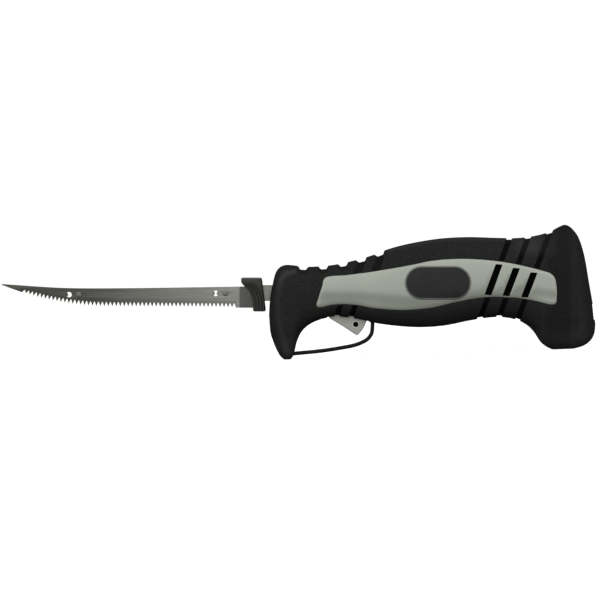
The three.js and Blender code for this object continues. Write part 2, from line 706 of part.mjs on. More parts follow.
// Drive bars: blade socket, strip stepped outwards, yoke round the eccentric
for (const side of [-1, 1]) {
  const socketXs = [SOCKET_FRONT, SOCKET_REAR];
  const web = box(socketXs, sided(side, webNear, webFar), [-socketHalf, socketHalf]);
  const lipYs = sided(side, bladeNear, webFar);
  const lipTop = box(socketXs, lipYs, [tangRoom, socketHalf]);
  const lipLow = box(socketXs, lipYs, [-socketHalf, -tangRoom]);
  const yokeFront = CRANK_X - windowHalfX - YOKE_RIM;
  const bend = (SOCKET_REAR + yokeFront) / 2;
  const [stripFront, stripRear] = [SOCKET_REAR - LAP, yokeFront + LAP];
  const line = [
    [stripFront, webNear], [bend - BEND_HALF, webNear],
    [bend + BEND_HALF, yokeNear], [stripRear, yokeNear],
    [stripRear, yokeFar], [bend + BEND_HALF - BEND_SKEW, yokeFar],
    [bend - BEND_HALF - BEND_SKEW, webFar], [stripFront, webFar],
  ];
  const strip = slabUp(line.map((p) => [p[0], side * p[1]]), [-STRIP_HALF, STRIP_HALF]);
  const yokeZs = [crankZ - windowHalfZ - YOKE_RIM, crankZ + windowHalfZ + YOKE_RIM];
  const yoke = box([yokeFront, yokeRear], sided(side, yokeNear, yokeFar), yokeZs);
  const windowXs = [CRANK_X - windowHalfX, CRANK_X + windowHalfX];
  const windowZs = [crankZ - windowHalfZ, crankZ + windowHalfZ];
  const opening = box(windowXs, sided(side, 0, 2 * yokeFar), windowZs);
  const nubAt = [SOCKET_REAR - NUB_FROM_REAR, 0];
  const nubHole = rod("y", NUB_R + FIT, sided(side, 0, 2 * webFar), nubAt);
  const bar = without(union([web, lipTop, lipLow, strip, yoke]), [opening, nubHole]);
  part(side < 0 ? "drive_bar_left" : "drive_bar_right", bar, zincSteel);
  const leafXs = [SOCKET_FRONT + CLIP_INSET, SOCKET_REAR - CLIP_INSET];
  const leaf = box(leafXs, sided(side, webFar + RUN, clipFar), [-CLIP_HALF, CLIP_HALF]);
  const nub = rod("y", NUB_R, sided(side, bladeFar + PARTING, clipFar - PARTING), nubAt);
  part(side < 0 ? "blade_clip_left" : "blade_clip_right", leaf.add(nub), springSteel);
}

// Nose guide for the tangs, and the guide round both sockets
const guideZs = [-GUIDE_HALF_HEIGHT, GUIDE_HALF_HEIGHT];
const guideYs = [-GUIDE_HALF_WIDTH, GUIDE_HALF_WIDTH];
const guideBlock = box([GUIDE_FRONT, GUIDE_REAR], guideYs, guideZs);
const tangSlot = box([-FAR, FAR], [-bladeFar - RUN, bladeFar + RUN], [-tangRoom, tangRoom]);
part("blade_guide", guideBlock.subtract(tangSlot), acetalWhite);
const barRoomY = clipFar + RUN;
const barRoomZ = socketHalf + RUN;
const barGuideY = barRoomY + BAR_GUIDE_RIM;
const barGuideZ = barRoomZ + BAR_GUIDE_RIM;
const barGuideXs = [BAR_GUIDE_FRONT, BAR_GUIDE_REAR];
const barGuideBlock = box(barGuideXs, [-barGuideY, barGuideY], [-barGuideZ, barGuideZ]);
const barSlot = box([-FAR, FAR], [-barRoomY, barRoomY], [-barRoomZ, barRoomZ]);
part("bar_guide", barGuideBlock.subtract(barSlot), acetalWhite);

// Worm wheel with two opposed eccentrics, turned about the axle at the group's origin
const leadTan = (MODULE * STARTS) / (2 * WORM_R);
const gearLayers = [-GEAR_HALF, GEAR_HALF];
const toothHalf = (Math.PI * MODULE - 2 * BACKLASH) / 4;
const tipRise = ADDENDUM * MODULE;
const rootFall = DEDENDUM * MODULE;
const tipHalf = toothHalf - tipRise * FLANK;
const footHalf = toothHalf + rootFall * FLANK;
const toothProfile = [
  [gearR - rootFall, -footHalf],
  [gearR + tipRise, -tipHalf],
  [gearR + tipRise, tipHalf],
  [gearR - rootFall, footHalf],
];
function gearRing(y) {
  const ring = [];
  for (let i = 0; i < TEETH; i += 1) {
    const middle = ((i + 0.5) * 2 * Math.PI) / TEETH + (y * leadTan) / gearR;
    for (const [radius, across] of toothProfile) {
      const turn = middle + across / gearR;
      ring.push(new THREE.Vector3(radius * Math.sin(turn), y, radius * Math.cos(turn)));
    }
  }
  return ring;
}
const gearEnds = [new THREE.Vector3(0, -GEAR_HALF, 0), new THREE.Vector3(0, GEAR_HALF, 0)];
const toothed = solid(closedGrid(gearEnds[0], gearLayers.map(gearRing), gearEnds[1]));
const discLeft = rod("y", DISC_R, [-discFar, LAP - GEAR_HALF], [0, STROKE]);
const discRight = rod("y", DISC_R, [GEAR_HALF - LAP, discFar], [0, -STROKE]);
const gearBore = rod("y", AXLE_R + RUN, [-FAR, FAR], [0, 0]);
const wheel = union([toothed, discLeft, discRight]).subtract(gearBore);
const crankGear = part("crank_gear", wheel, acetalWhite);
crankGear.position.set(CRANK_X, 0, crankZ);
const clipNear = frameFar + FIT / 2;
const axleEnd = clipNear + AXLE_CLIP + AXLE_TAIL;
const axleHole = rod("y", AXLE_R + PARTING, [-FAR, FAR], [CRANK_X, crankZ]);
for (const side of [-1, 1]) {
  const clipYs = sided(side, clipNear, clipNear + AXLE_CLIP);
  const ring = rod("y", AXLE_R + AXLE_CLIP_RIM, clipYs, [CRANK_X, crankZ]);
  part(side < 0 ? "axle_clip_left" : "axle_clip_right", ring.subtract(axleHole), springSteel);
}
part("gear_axle", rod("y", AXLE_R, [-axleEnd, axleEnd], [CRANK_X, crankZ]), zincSteel);

// Folded frame: two cheeks for the axle and a back plate for the motor
const frameZs = [crankZ - FRAME_BELOW, MOTOR_Z + FRAME_ABOVE];
const frameXs = [frameFront, frameBack + FRAME_SHEET];
const cheeks = [-1, 1].map((side) => box(frameXs, sided(side, frameNear, frameFar), frameZs));
const back = box([frameBack, frameBack + FRAME_SHEET], [-frameFar, frameFar], frameZs);
const wormHole = rod("x", WORM_R + MODULE + END_ROOM, [-FAR, FAR], [0, MOTOR_Z]);
part("gear_frame", without(union([...cheeks, back]), [wormHole, axleHole]), zincSteel);

// Worm: trapezoid threads round a core, with the thread in a wheel gap at rest
const lead = Math.PI * MODULE * STARTS;
const crestR = WORM_R + tipRise;
const coreR = WORM_R - WORM_CORE_DEPTH * MODULE;
const threadLow = WORM_R - THREAD_ROOT_DEPTH * MODULE;
const rootHalf = toothHalf + THREAD_ROOT_DEPTH * MODULE * FLANK;
function thread(startTurn) {
  const turns = WORM_LENGTH / lead + 1;
  const steps = Math.ceil(turns * TURN_STEPS);
  const rings = [];
  for (let i = 0; i <= steps; i += 1) {
    const turn = (i - steps / 2) * ((2 * Math.PI) / TURN_STEPS);
    const angle = turn - Math.PI / 2 + startTurn;
    const x = (lead * turn) / (2 * Math.PI);
    const corner = (dx, r) => new THREE.Vector3(x + dx, r * Math.cos(angle), r * Math.sin(angle));
    const rise = [corner(-rootHalf, threadLow), corner(-tipHalf, crestR)];
    rings.push([...rise, corner(tipHalf, crestR), corner(rootHalf, threadLow)]);
  }
  return solid(closedGrid(middleOf(rings[0]), rings, middleOf(rings[rings.length - 1])));
}
const wormEnds = [-WORM_LENGTH / 2, WORM_LENGTH / 2];
const wormLimit = rod("x", 2 * crestR, wormEnds, [0, 0], 12);
const threads = [0, 1].map((start) => thread((start * 2 * Math.PI) / STARTS));
const wormSolid = union([rod("x", coreR, wormEnds, [0, 0]), ...threads]).intersect(wormLimit);
const wormBore = rod("x", SHAFT_R + PARTING, [-FAR, FAR], [0, 0]);
const worm = part("worm", wormSolid.subtract(wormBore), brass);
worm.position.set(CRANK_X, 0, MOTOR_Z);

// Motor: can, magnets, armature, commutator, shaft, brushes, end cap, fan
const canInner = MOTOR_R - CAN_WALL;
const canFloor = motorFront + CAN_WALL;
const canHollow = rod("x", canInner, [canFloor, motorRear + LAP], [0, MOTOR_Z], 24);
const shaftHole = rod("x", SHAFT_R + RUN, [-FAR, FAR], [0, MOTOR_Z]);
const canSolid = rod("x", MOTOR_R, [motorFront, motorRear], [0, MOTOR_Z], 24);
part("motor_can", without(canSolid, [canHollow, shaftHole]), zincSteel);
const commutatorRear = motorRear - COMMUTATOR_INSET;
const commutatorFront = commutatorRear - COMMUTATOR_LENGTH;
const armatureRear = commutatorFront - END_ROOM - WINDING_REACH;
const magnetFront = canFloor + MAGNET_INSET;
const magnetLength = armatureRear + WINDING_REACH - magnetFront;
const armatureFront = magnetFront + WINDING_REACH;
const magnetOuter = canInner - FIT;
const magnetInner = magnetOuter - MAGNET;
function arcPoints(radius, from, to) {
  const points = [];
  for (let i = 0; i <= ARC_STEPS; i += 1) {
    const turn = from + ((to - from) * i) / ARC_STEPS;
    points.push(new THREE.Vector2(radius * Math.cos(turn), radius * Math.sin(turn)));
  }
  return points;
}
for (const up of [1, -1]) {
  const outer = arcPoints(magnetOuter, -MAGNET_HALF_ANGLE, MAGNET_HALF_ANGLE);
  const inner = arcPoints(magnetInner, MAGNET_HALF_ANGLE, -MAGNET_HALF_ANGLE);
  const section = new THREE.Shape(outer.concat(inner));
  const arc = new THREE.ExtrudeGeometry(section, { depth: magnetLength, bevelEnabled: false });
  const name = up > 0 ? "magnet_upper" : "magnet_lower";
  const magnet = part(name, solid(arc.rotateY(Math.PI / 2)), magnetGrey);
  magnet.rotation.x = up > 0 ? Math.PI : 0;
  magnet.position.set(magnetFront, 0, MOTOR_Z);
}
const armatureR = magnetInner - AIR_GAP;
const windingR = armatureR - WINDING_STEP;
const windingXs = [armatureFront - WINDING_REACH, armatureRear + WINDING_REACH];
const core = rod("x", armatureR, [armatureFront, armatureRear], [0, MOTOR_Z]);
const windings = rod("x", windingR, windingXs, [0, MOTOR_Z]);
const pressHole = rod("x", SHAFT_R + PARTING, [-FAR, FAR], [0, MOTOR_Z]);
part("armature", core.add(windings).subtract(pressHole), copper);
const ringOfBars = rod("x", COMMUTATOR_R, [commutatorFront, commutatorRear], [0, MOTOR_Z]);
part("commutator", ringOfBars.subtract(pressHole), copper);
const shaftXs = [CRANK_X - WORM_LENGTH / 2 - 2 * END_ROOM, fanRear + END_ROOM];
part("motor_shaft", rod("x", SHAFT_R, shaftXs, [0, MOTOR_Z]), springSteel);
const brushXs = [commutatorFront + BRUSH_INSET, commutatorRear - BRUSH_INSET];
const brushNear = COMMUTATOR_R + RUN;
const holderFar = canInner - HOLDER_ROOM;
const brushFar = holderFar - HOLDER_WALL;
const pocketHalf = BRUSH_HALF + RUN;
const holderHalf = pocketHalf + HOLDER_WALL;
const holders = [];
const pockets = [];
for (const up of [1, -1]) {
  const zs = (near, far) => sided(up, near, far).map((z) => MOTOR_Z + z);
  const brush = box(brushXs, [-BRUSH_HALF, BRUSH_HALF], zs(brushNear, brushFar));
  part(up > 0 ? "brush_upper" : "brush_lower", brush, carbonBlack);
  const holderXs = [brushXs[0] - HOLDER_WALL, motorRear + FIT + LAP];
  holders.push(box(holderXs, [-holderHalf, holderHalf], zs(brushNear + HOLDER_WALL, holderFar)));
  const pocketXs = [brushXs[0] - RUN, brushXs[1] + RUN];
  pockets.push(box(pocketXs, [-pocketHalf, pocketHalf], zs(0, brushFar + RUN)));
}
const capDisc = rod("x", MOTOR_R, [motorRear + FIT, capRear], [0, MOTOR_Z], 24);
part("motor_end_cap", without(union([capDisc, ...holders]), [...pockets, shaftHole]), shellBlack);
const fanPlate = rod("x", FAN_R, [fanFront, fanFront + FAN_PLATE], [0, 0], 24);
const fanHub = rod("x", FAN_HUB_R, [fanFront, fanRear], [0, 0]);
const vaneXs = [fanFront + FAN_PLATE / 2, fanRear];
const vaneYs = [-FAN_PLATE / 2, FAN_PLATE / 2];
const vane = box(vaneXs, vaneYs, [FAN_HUB_R - 2 * LAP, FAN_R - LAP]);
const fanPieces = [fanPlate, fanHub];
for (let i = 0; i < FAN_BLADES; i += 1) fanPieces.push(vane.rotate([(i * 360) / FAN_BLADES, 0, 0]));
const fanBore = rod("x", SHAFT_R + PARTING, [-FAR, FAR], [0, 0]);
const fan = part("fan", union(fanPieces).subtract(fanBore), shellBlack);
fan.position.set(0, 0, MOTOR_Z);

// Trigger with its pivot, cross button, spring and switch
const triggerYs = [-TRIGGER_HALF_WIDTH, TRIGGER_HALF_WIDTH];
const pinHole = rod("y", PIN_R + RUN, [-FAR, FAR], [PIVOT_X, PIVOT_Z]);
const lockHole = rod("y", LOCK_R + RUN, [-FAR, FAR], lockAt);
part("trigger", without(plate(trigger, triggerYs), [pinHole, lockHole]), paleGrey);
part("trigger_pin", rod("y", PIN_R, [-PIN_HALF, PIN_HALF], [PIVOT_X, PIVOT_Z]), springSteel);
const lockEnd = TRIGGER_HALF_WIDTH + LOCK_PROUD;
const lockYs = [-lockEnd, lockEnd - LOCK_TRAVEL];
const lockBody = rod("y", LOCK_R, lockYs, lockAt);
const dimples = lockYs.map((y) => {
  return rod("y", DIMPLE_R, [y - DIMPLE_DEPTH, y + DIMPLE_DEPTH], lockAt);
});
part("lock_button", without(lockBody, dimples), shellBlack);
const switchYs = [-SWITCH_HALF_WIDTH, SWITCH_HALF_WIDTH];
const switchBox = box([switchFront, switchRear], switchYs, [switchBottom, switchTop]);
const tagZ = switchBottom + TAG_RISE;
const tagZs = [tagZ - TAG_THICKNESS / 2, tagZ + TAG_THICKNESS / 2];
const tagXs = [switchRear - LAP, switchRear + TAG_LENGTH];
const tags = [-1, 1].map((side) => box(tagXs, sided(side, TAG_Y - TAG_HALF, TAG_Y + TAG_HALF), tagZs));
const plungerRoom = [switchBottom - LAP, switchTop - SWITCH_WALL];
const plungerHole = rod("z", PLUNGER_R + RUN, plungerRoom, plungerAt);
part("switch_body", union([switchBox, ...tags]).subtract(plungerHole), shellBlack);
const plungerZs = [switchBottom - PLUNGER_REACH, switchBottom + PLUNGER_TAIL];
part("switch_plunger", rod("z", PLUNGER_R, plungerZs, plungerAt), acetalWhite);

// Return spring: one tube along an even helix, with closed ends set in from its seats
function triggerTopAt(x) {
  const at = trigger.findIndex((p, i) => p[0] <= x && x <= trigger[i + 1][0]);
  const [a, b] = [trigger[at], trigger[at + 1]];
  return a[1] + ((x - a[0]) / (b[0] - a[0])) * (b[1] - a[1]);
}
const springLow = triggerTopAt(springX - SPRING_R - SPRING_WIRE) + SPRING_WIRE + FIT;
const springHigh = springTop - SPRING_WIRE - FIT;
class Helix extends THREE.Curve {
  getPoint(t) {
    const turn = t * SPRING_CURLS * 2 * Math.PI;
    const x = springX + SPRING_R * Math.cos(turn);
    return new THREE.Vector3(x, SPRING_R * Math.sin(turn), springLow + t * (springHigh - springLow));
  }
}
function roundSection(radius, sides) {
  const points = [];
  for (let i = 0; i < sides; i += 1) {
    const turn = (i * 2 * Math.PI) / sides;
    points.push(new THREE.Vector2(radius * Math.cos(turn), radius * Math.sin(turn)));
  }
  return new THREE.Shape(points);
}
function tube(extrudePath, radius, steps) {
  const section = roundSection(radius, WIRE_SIDES);
  return solid(new THREE.ExtrudeGeometry(section, { steps, extrudePath, bevelEnabled: false }));
}
const springLine = new Helix();
part("trigger_spring", tube(springLine, SPRING_WIRE, SPRING_CURLS * CURL_STEPS), springSteel);

// Least gap of the spring to itself, on points at least half a curl apart
const springPoints = springLine.getPoints(SPRING_CURLS * 4 * CURL_STEPS);
let leastSpan = Infinity;
springPoints.forEach((point, i) => {
  const others = springPoints.slice(i + 2 * CURL_STEPS);
  leastSpan = Math.min(leastSpan, ...others.map((other) => point.distanceTo(other)));
});
console.log("least gap between spring curls", leastSpan - 2 * SPRING_WIRE);

// Finger guard: a strap set into the front guard and the handle
const strapCurve = new THREE.SplineCurve(STRAP.map((p) => new THREE.Vector2(p[0], p[1])));
const strapLine = strapCurve.getPoints(STRAP_STEPS).map((p) => [p.x, p.y]);
const strapYs = [-STRAP_HALF_WIDTH, STRAP_HALF_WIDTH];
part("finger_guard", plate(band(strapLine, STRAP_THICKNESS), strapYs), shellBlack);
const strapEnds = [
  [[STRAP[0][0] - 2 * FIT, STRAP[0][1]], ...strapLine],
  [...strapLine, [STRAP[STRAP.length - 1][0], STRAP[STRAP.length - 1][1] + 2 * FIT]],
];
const strapRoom = strapEnds.map((line) => {
  const room = STRAP_HALF_WIDTH + FIT;
  return plate(band(line, STRAP_THICKNESS + 2 * FIT), [-room, room]);
});

// Power inlet, its pins, the rectifier board and the wires
const inletZs = [INLET_Z - INLET_HALF_HEIGHT, INLET_Z + INLET_HALF_HEIGHT];
const inletYs = [-INLET_HALF_WIDTH, INLET_HALF_WIDTH];
const inletBlock = box([inletRear, INLET_FACE], inletYs, inletZs);
const socketZs = [INLET_Z - SOCKET_HALF_HEIGHT, INLET_Z + SOCKET_HALF_HEIGHT];
const socket = box([INLET_FACE - SOCKET_DEPTH, FAR], [-SOCKET_HALF_WIDTH, SOCKET_HALF_WIDTH], socketZs);
const pinHoles = [-1, 1].map((side) => {
  return rod("x", INLET_PIN_R + PARTING, [-FAR, FAR], [side * INLET_PIN_Y, INLET_Z]);
});
part("power_inlet", without(inletBlock, [socket, ...pinHoles]), shellBlack);
for (const side of [-1, 1]) {
  const xs = [boardX - PIN_TAIL, INLET_FACE - SOCKET_DEPTH + INLET_PIN_LENGTH];
  const contact = rod("x", INLET_PIN_R, xs, [side * INLET_PIN_Y, INLET_Z]);
  part(side < 0 ? "inlet_pin_left" : "inlet_pin_right", contact, brass);
}
const boardYs = [-BOARD_HALF_WIDTH, BOARD_HALF_WIDTH];
const boardZs = [INLET_Z - BOARD_HALF_HEIGHT, INLET_Z + BOARD_HALF_HEIGHT];
const board = box([boardX, boardX + BOARD_THICKNESS], boardYs, boardZs);
const capacitorXs = [boardX - CAPACITOR_LENGTH, boardX + LAP];
const capacitor = rod("x", CAPACITOR_R, capacitorXs, [CAPACITOR_Y, INLET_Z - CAPACITOR_DROP], 20);
const bridgeZs = BRIDGE_DROPS.map((drop) => INLET_Z - drop);
const bridge = box([boardX - BRIDGE_LENGTH, boardX + LAP], BRIDGE_YS, bridgeZs);
part("rectifier_board", without(union([board, capacitor, bridge]), pinHoles), boardGreen);
function wire(name, points, material) {
  const path = new THREE.CatmullRomCurve3(points.map((p) => new THREE.Vector3(p[0], p[1], p[2])));
  part(name, tube(path, WIRE_R, WIRE_STEPS), material);
}
const wireSide = axleEnd + WIRE_R + WIRE_ROOM;
const motorLow = MOTOR_Z - MOTOR_R;
const wireLow = motorLow - WIRE_R - WIRE_ROOM;
const boardEnd = [boardX - FIT, WIRE_SPREAD, INLET_Z + CAPACITOR_DROP];
const boardBend = [boardX - WIRE_FALL, WIRE_SPREAD, wireLow];
const tagRear = switchRear + TAG_LENGTH + FIT;
const switchRun = [
  [tagRear, TAG_Y + TAG_HALF, tagZ],
  [tagRear + WIRE_ROOM, 2 * WIRE_ROOM, tagZ],
  [(tagRear + frameFront) / 2, WIRE_SPREAD, (tagZ + wireLow) / 2],
  [frameFront, wireSide, wireLow],
  [frameBack, wireSide, wireLow],
  [motorFront + WIRE_SPREAD, WIRE_SPREAD, wireLow],
];
const mirrored = (p) => [p[0], -p[1], p[2]];
const capMiddle = (motorRear + FIT + capRear) / 2;
const capEnd = [capMiddle, WIRE_ROOM, motorLow - WIRE_R - FIT];
const liveRun = [boardEnd, boardBend, [motorRear, WIRE_SPREAD, wireLow], ...switchRun.toReversed()];
wire("wire_live", liveRun.map(mirrored), wireBrown);
wire("wire_switched", [...switchRun, [motorRear - END_CAP, 2 * WIRE_ROOM, wireLow], capEnd], wireRed);
wire("wire_neutral", [boardEnd, boardBend, [fanRear, WIRE_ROOM, wireLow], mirrored(capEnd)], wireBlue);

// Housing screws from the right side, with a cross in each head
SCREWS.forEach((screw, i) => {
  const seat = screw[2];
  const top = seat + SCREW_HEAD;
  const profile = [
    [0, -SCREW_BITE], [SCREW_POINT_R, -SCREW_BITE], [SCREW_R, SCREW_POINT - SCREW_BITE],
    [SCREW_R, seat], [SCREW_HEAD_R, seat], [SCREW_HEAD_R, seat + SCREW_CROWN * SCREW_HEAD],
    [SCREW_CROWN * SCREW_HEAD_R, top], [0, top],
  ];
  const slotYs = [top - CROSS_SINK, top + SCREW_HEAD];
  const reach = [-CROSS_REACH, CROSS_REACH];
  const narrow = [-CROSS_HALF, CROSS_HALF];
  const cross = box(reach, slotYs, narrow).add(box(narrow, slotYs, reach));
  const made = part(`housing_screw_${i + 1}`, turned(profile).subtract(cross), springSteel);
  made.position.set(screw[0], 0, screw[1]);
});

// Hard shells: a hollow with tunnels for the guides, seats, bosses and screw pillars
const shellSolid = handle(shellOut);
const mouthY = barRoomY + 2 * FIT;
const mouth = box([-FAR, MOUTH_REAR], [-mouthY, mouthY], [-barRoomZ, barRoomZ]);
const guideRoom = box(
  [-FAR, GUIDE_REAR + FIT],
  [-GUIDE_HALF_WIDTH - FIT, GUIDE_HALF_WIDTH + FIT],
  [-GUIDE_HALF_HEIGHT - FIT, GUIDE_HALF_HEIGHT + FIT],
);
const barGuideRoom = box(
  [BAR_GUIDE_FRONT - FIT, BAR_GUIDE_REAR + FIT],
  [-barGuideY - FIT, barGuideY + FIT],
  [-barGuideZ - FIT, barGuideZ + FIT],
);
const slotXs = [Math.min(...triggerXs) - TRIGGER_SWING, Math.max(...triggerXs) + TRIGGER_SWING];
const triggerSlot = box(slotXs, [-triggerRoom, triggerRoom], [-HALF_ROOM, triggerTop]);
const motorRoom = rod("x", MOTOR_R + FIT, [motorFront - FIT, capRear + FIT], [0, MOTOR_Z], 24);
const fanRoom = rod("x", FAN_R + END_ROOM, [capRear, fanRear + 2 * END_ROOM], [0, MOTOR_Z], 24);
const inletRoom = box(
  [inletRear - FIT, FAR],
  [-INLET_HALF_WIDTH - FIT, INLET_HALF_WIDTH + FIT],
  [inletZs[0] - FIT, inletZs[1] + FIT],
);
const across = [-HALF_ROOM, HALF_ROOM];
const motorPads = [motorFront + PAD_INSET, motorRear - PAD_INSET - PAD_WIDTH].map((x) => {
  return box([x, x + PAD_WIDTH], across, [MOTOR_Z - PAD_HALF, MOTOR_Z + PAD_HALF]);
});
const atScrews = (radius, ys) => SCREWS.map((s) => rod("y", radius, ys(s[2]), [s[0], s[1]], 12));
const screwHoles = atScrews(SCREW_R + RUN, () => [-SCREW_BITE - END_ROOM, HALF_ROOM]);
const headRooms = atScrews(SCREW_HEAD_R + FIT, (seat) => [seat - FIT, HALF_ROOM]);
const pillars = atScrews(BOSS_R, () => across);
const pinSeatXs = [PIVOT_X - PIN_SEAT_HALF, PIVOT_X + PIN_SEAT_HALF];
const pinSeats = [-1, 1].map((side) => {
  return box(pinSeatXs, sided(side, triggerRoom, HALF_ROOM), [PIVOT_Z - PIN_SEAT_DROP, triggerTop]);
});
const seatXs = [switchFront + SEAT_INSET, switchRear - SEAT_INSET];
const seatZs = [switchBottom + SEAT_INSET, switchTop - SEAT_INSET];
const switchSeats = [-1, 1].map((side) => {
  return box(seatXs, sided(side, SWITCH_HALF_WIDTH + FIT, HALF_ROOM), seatZs);
});
const shelfXs = [springX - SHELF_HALF, springX + SHELF_HALF];
const shelf = box(shelfXs, across, [springTop, springTop + SHELF]);
const railXs = [CRANK_X - RAIL_AHEAD, frameBack - RAIL_INSET];
const railZs = RAIL_RISE.map((rise) => MOTOR_Z + rise);
const rails = [-1, 1].map((side) => box(railXs, sided(side, frameFar + FIT, HALF_ROOM), railZs));
const boardRoom = box(
  [boardX - CAPACITOR_LENGTH - FIT, inletRear],
  [boardYs[0] - FIT, boardYs[1] + FIT],
  [boardZs[0] - FIT, boardZs[1] + FIT],
);
const pinBores = rod("y", PIN_R + PARTING, [-PIN_HALF - FIT, PIN_HALF + FIT], [PIVOT_X, PIVOT_Z]);
const hollow = handle(cavityOut, cavityFirst, cavityLast);
const seats = union([...motorPads, ...pillars, ...pinSeats, ...switchSeats, shelf, ...rails]);
const bare = without(shellSolid, [hollow, triggerSlot]).add(seats.intersect(shellSolid));
const rooms = [mouth, guideRoom, barGuideRoom, motorRoom, fanRoom, inletRoom, boardRoom, pinBores];
const shellPair = without(bare, [...rooms, ...screwHoles, ...headRooms, ...strapRoom]);
for (const side of [-1, 1]) {
  const half = box([-FAR, FAR], sided(side, PARTING, HALF_ROOM), [-FAR, FAR]);
  part(side < 0 ? "shell_left" : "shell_right", shellPair.intersect(half), shellBlack);
}

// Side panels and plaques, cut from the handle surface
const panelLoop = smoothClosed(PANEL, PANEL_STEPS);
const outerPanel = handle(PANEL_PROUD);
const panelBed = handle(-RUBBER);
const badgeBed = handle(BADGE_PROUD - BADGE_THICKNESS - FIT);
const badgeBack = handle(BADGE_PROUD - BADGE_THICKNESS);
const badgeOuter = handle(BADGE_PROUD);
const badgeR = BADGE_HEIGHT / 2;
const badgeEnd = BADGE_LENGTH / 2 - badgeR;
const badgeLoop = [];
for (let i = 0; i < BADGE_STEPS; i += 1) {
  const turn = -((i + 0.5) * 2 * Math.PI) / BADGE_STEPS;
  const end = Math.sign(Math.cos(turn)) * badgeEnd;
  badgeLoop.push([BADGE_X + end + badgeR * Math.cos(turn), BADGE_Z + badgeR * Math.sin(turn)]);
}
for (const side of [-1, 1]) {
  const ys = sided(side, SIDE_REACH, HALF_ROOM);
  const slots = SLOTS.map((s) => plate(band([[s[0], s[1]], [s[2], s[3]]], SLOT_WIDTH), ys));
  const pocket = plate(grown(badgeLoop, FIT), ys).subtract(badgeBed);
  const panel = without(plate(panelLoop, ys).intersect(outerPanel), [panelBed, ...slots, pocket]);
  part(side < 0 ? "side_panel_left" : "side_panel_right", panel, sageGrey);
  const plaque = plate(badgeLoop, ys).intersect(badgeOuter).subtract(badgeBack);
  part(side < 0 ? "plaque_left" : "plaque_right", plaque, plaqueDark);
}

// Rubber grips: the skin with its window, grooves, notches and openings
const grooveFloor = handle(-GROOVE_DEPTH);
const notchFloor = handle(-NOTCH_DEPTH);
const grooves = GROOVES.map((g) => {
  return plate(band([[g[0], g[1]], [g[2], g[3]]], GROOVE_WIDTH), across).subtract(grooveFloor);
});
const notches = NOTCH_XS.map((x, i) => {
  const low = NOTCH_FLOORS[i];
  const knee = low + NOTCH_KNEE;
  const lean = NOTCH_LEANS[i];
  const [front, rear] = [x - NOTCH_WIDTH / 2, x + NOTCH_WIDTH / 2];
  const frontSide = [[front - lean, low], [front, knee], [front, HALF_ROOM]];
  const rearSide = [[rear, HALF_ROOM], [rear, knee], [rear - lean, low]];
  return plate([...frontSide, ...rearSide], across).subtract(notchFloor);
});
const chins = CHIN_XS.map((x) => {
  const line = [[x + CHIN_LEAN_TOP, CHIN_TOP], [x + CHIN_LEAN_LOW, -HALF_ROOM]];
  return plate(band(line, CHIN_WIDTH), across).subtract(grooveFloor);
});
const panelRoom = [-1, 1].map((side) => plate(grown(panelLoop, FIT), sided(side, SIDE_REACH, HALF_ROOM)));
const screwAccess = atScrews(ACCESS_R, (seat) => [seat, HALF_ROOM]);
const skin = handle(0).subtract(panelBed);
const carved = without(skin, [...grooves, ...notches, ...chins, ...panelRoom]);
const gripPair = without(carved, [mouth, triggerSlot, inletRoom, boardRoom, ...strapRoom, floorCut]);
for (const side of [-1, 1]) {
  const half = box([-FAR, FAR], sided(side, PARTING, HALF_ROOM), [-FAR, FAR]);
  const grip = side < 0 ? gripPair.intersect(half) : without(gripPair.intersect(half), screwAccess);
  part(side < 0 ? "grip_left" : "grip_right", grip, rubberBlack);
}

// Stand the knife on its guard tip and butt, with the origin under the middle of its box
const model = new THREE.Group();
model.name = "electric_fillet_knife";
knife.rotation.y = TILT;
model.add(knife);
model.updateMatrixWorld(true);
const bounds = new THREE.Box3().setFromObject(knife, true);
const centre = bounds.getCenter(new THREE.Vector3());
knife.position.set(-centre.x, -centre.y, -bounds.min.z);
model.updateMatrixWorld(true);

export default model;
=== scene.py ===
"""Electric fillet knife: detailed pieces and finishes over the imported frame, in the frame's metres."""
import math

import bmesh
import bpy
import numpy as np
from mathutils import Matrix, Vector
from mathutils.geometry import delaunay_2d_cdt, tessellate_polygon


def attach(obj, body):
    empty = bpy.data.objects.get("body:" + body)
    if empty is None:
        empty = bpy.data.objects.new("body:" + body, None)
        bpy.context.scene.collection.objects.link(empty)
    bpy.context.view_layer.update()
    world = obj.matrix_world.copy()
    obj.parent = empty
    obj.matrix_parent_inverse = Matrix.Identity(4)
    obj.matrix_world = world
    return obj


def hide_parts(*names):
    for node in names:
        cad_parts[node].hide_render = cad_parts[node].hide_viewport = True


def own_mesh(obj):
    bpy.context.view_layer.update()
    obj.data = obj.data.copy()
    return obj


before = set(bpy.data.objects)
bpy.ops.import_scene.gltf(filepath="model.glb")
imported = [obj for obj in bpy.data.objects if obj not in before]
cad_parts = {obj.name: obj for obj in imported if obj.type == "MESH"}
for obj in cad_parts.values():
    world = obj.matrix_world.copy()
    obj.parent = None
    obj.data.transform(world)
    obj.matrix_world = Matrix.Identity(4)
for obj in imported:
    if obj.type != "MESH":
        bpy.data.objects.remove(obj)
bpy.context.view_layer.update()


# Blades
# Two thin spring-steel strips lie back to back, each stamped with its teeth, keyholes and tang.
# The outer face is ground thin above the teeth, and the steel keeps fine lengthwise grinding marks.
SIDES = ((-1, "left"), (1, "right"))
LEAN = 2.168466645812918
AHEAD = 0.58835
RAISED = 52.82836
BLADE_NEAR = 0.1
BLADE_FAR = 0.9
TIP = [(-229.6, 3.4), (-235, 5.4), (-237.4, 6.3), (-237.9, 6.8)]
SPINE = [
    (-237.62, 7.2), (-223.2, 6.2), (-207.2, 5.1), (-191.2, 4.2),
    (-175.2, 3.8), (-151.2, 3.8), (-111.2, 4.2), (-47.2, 5.2),
]
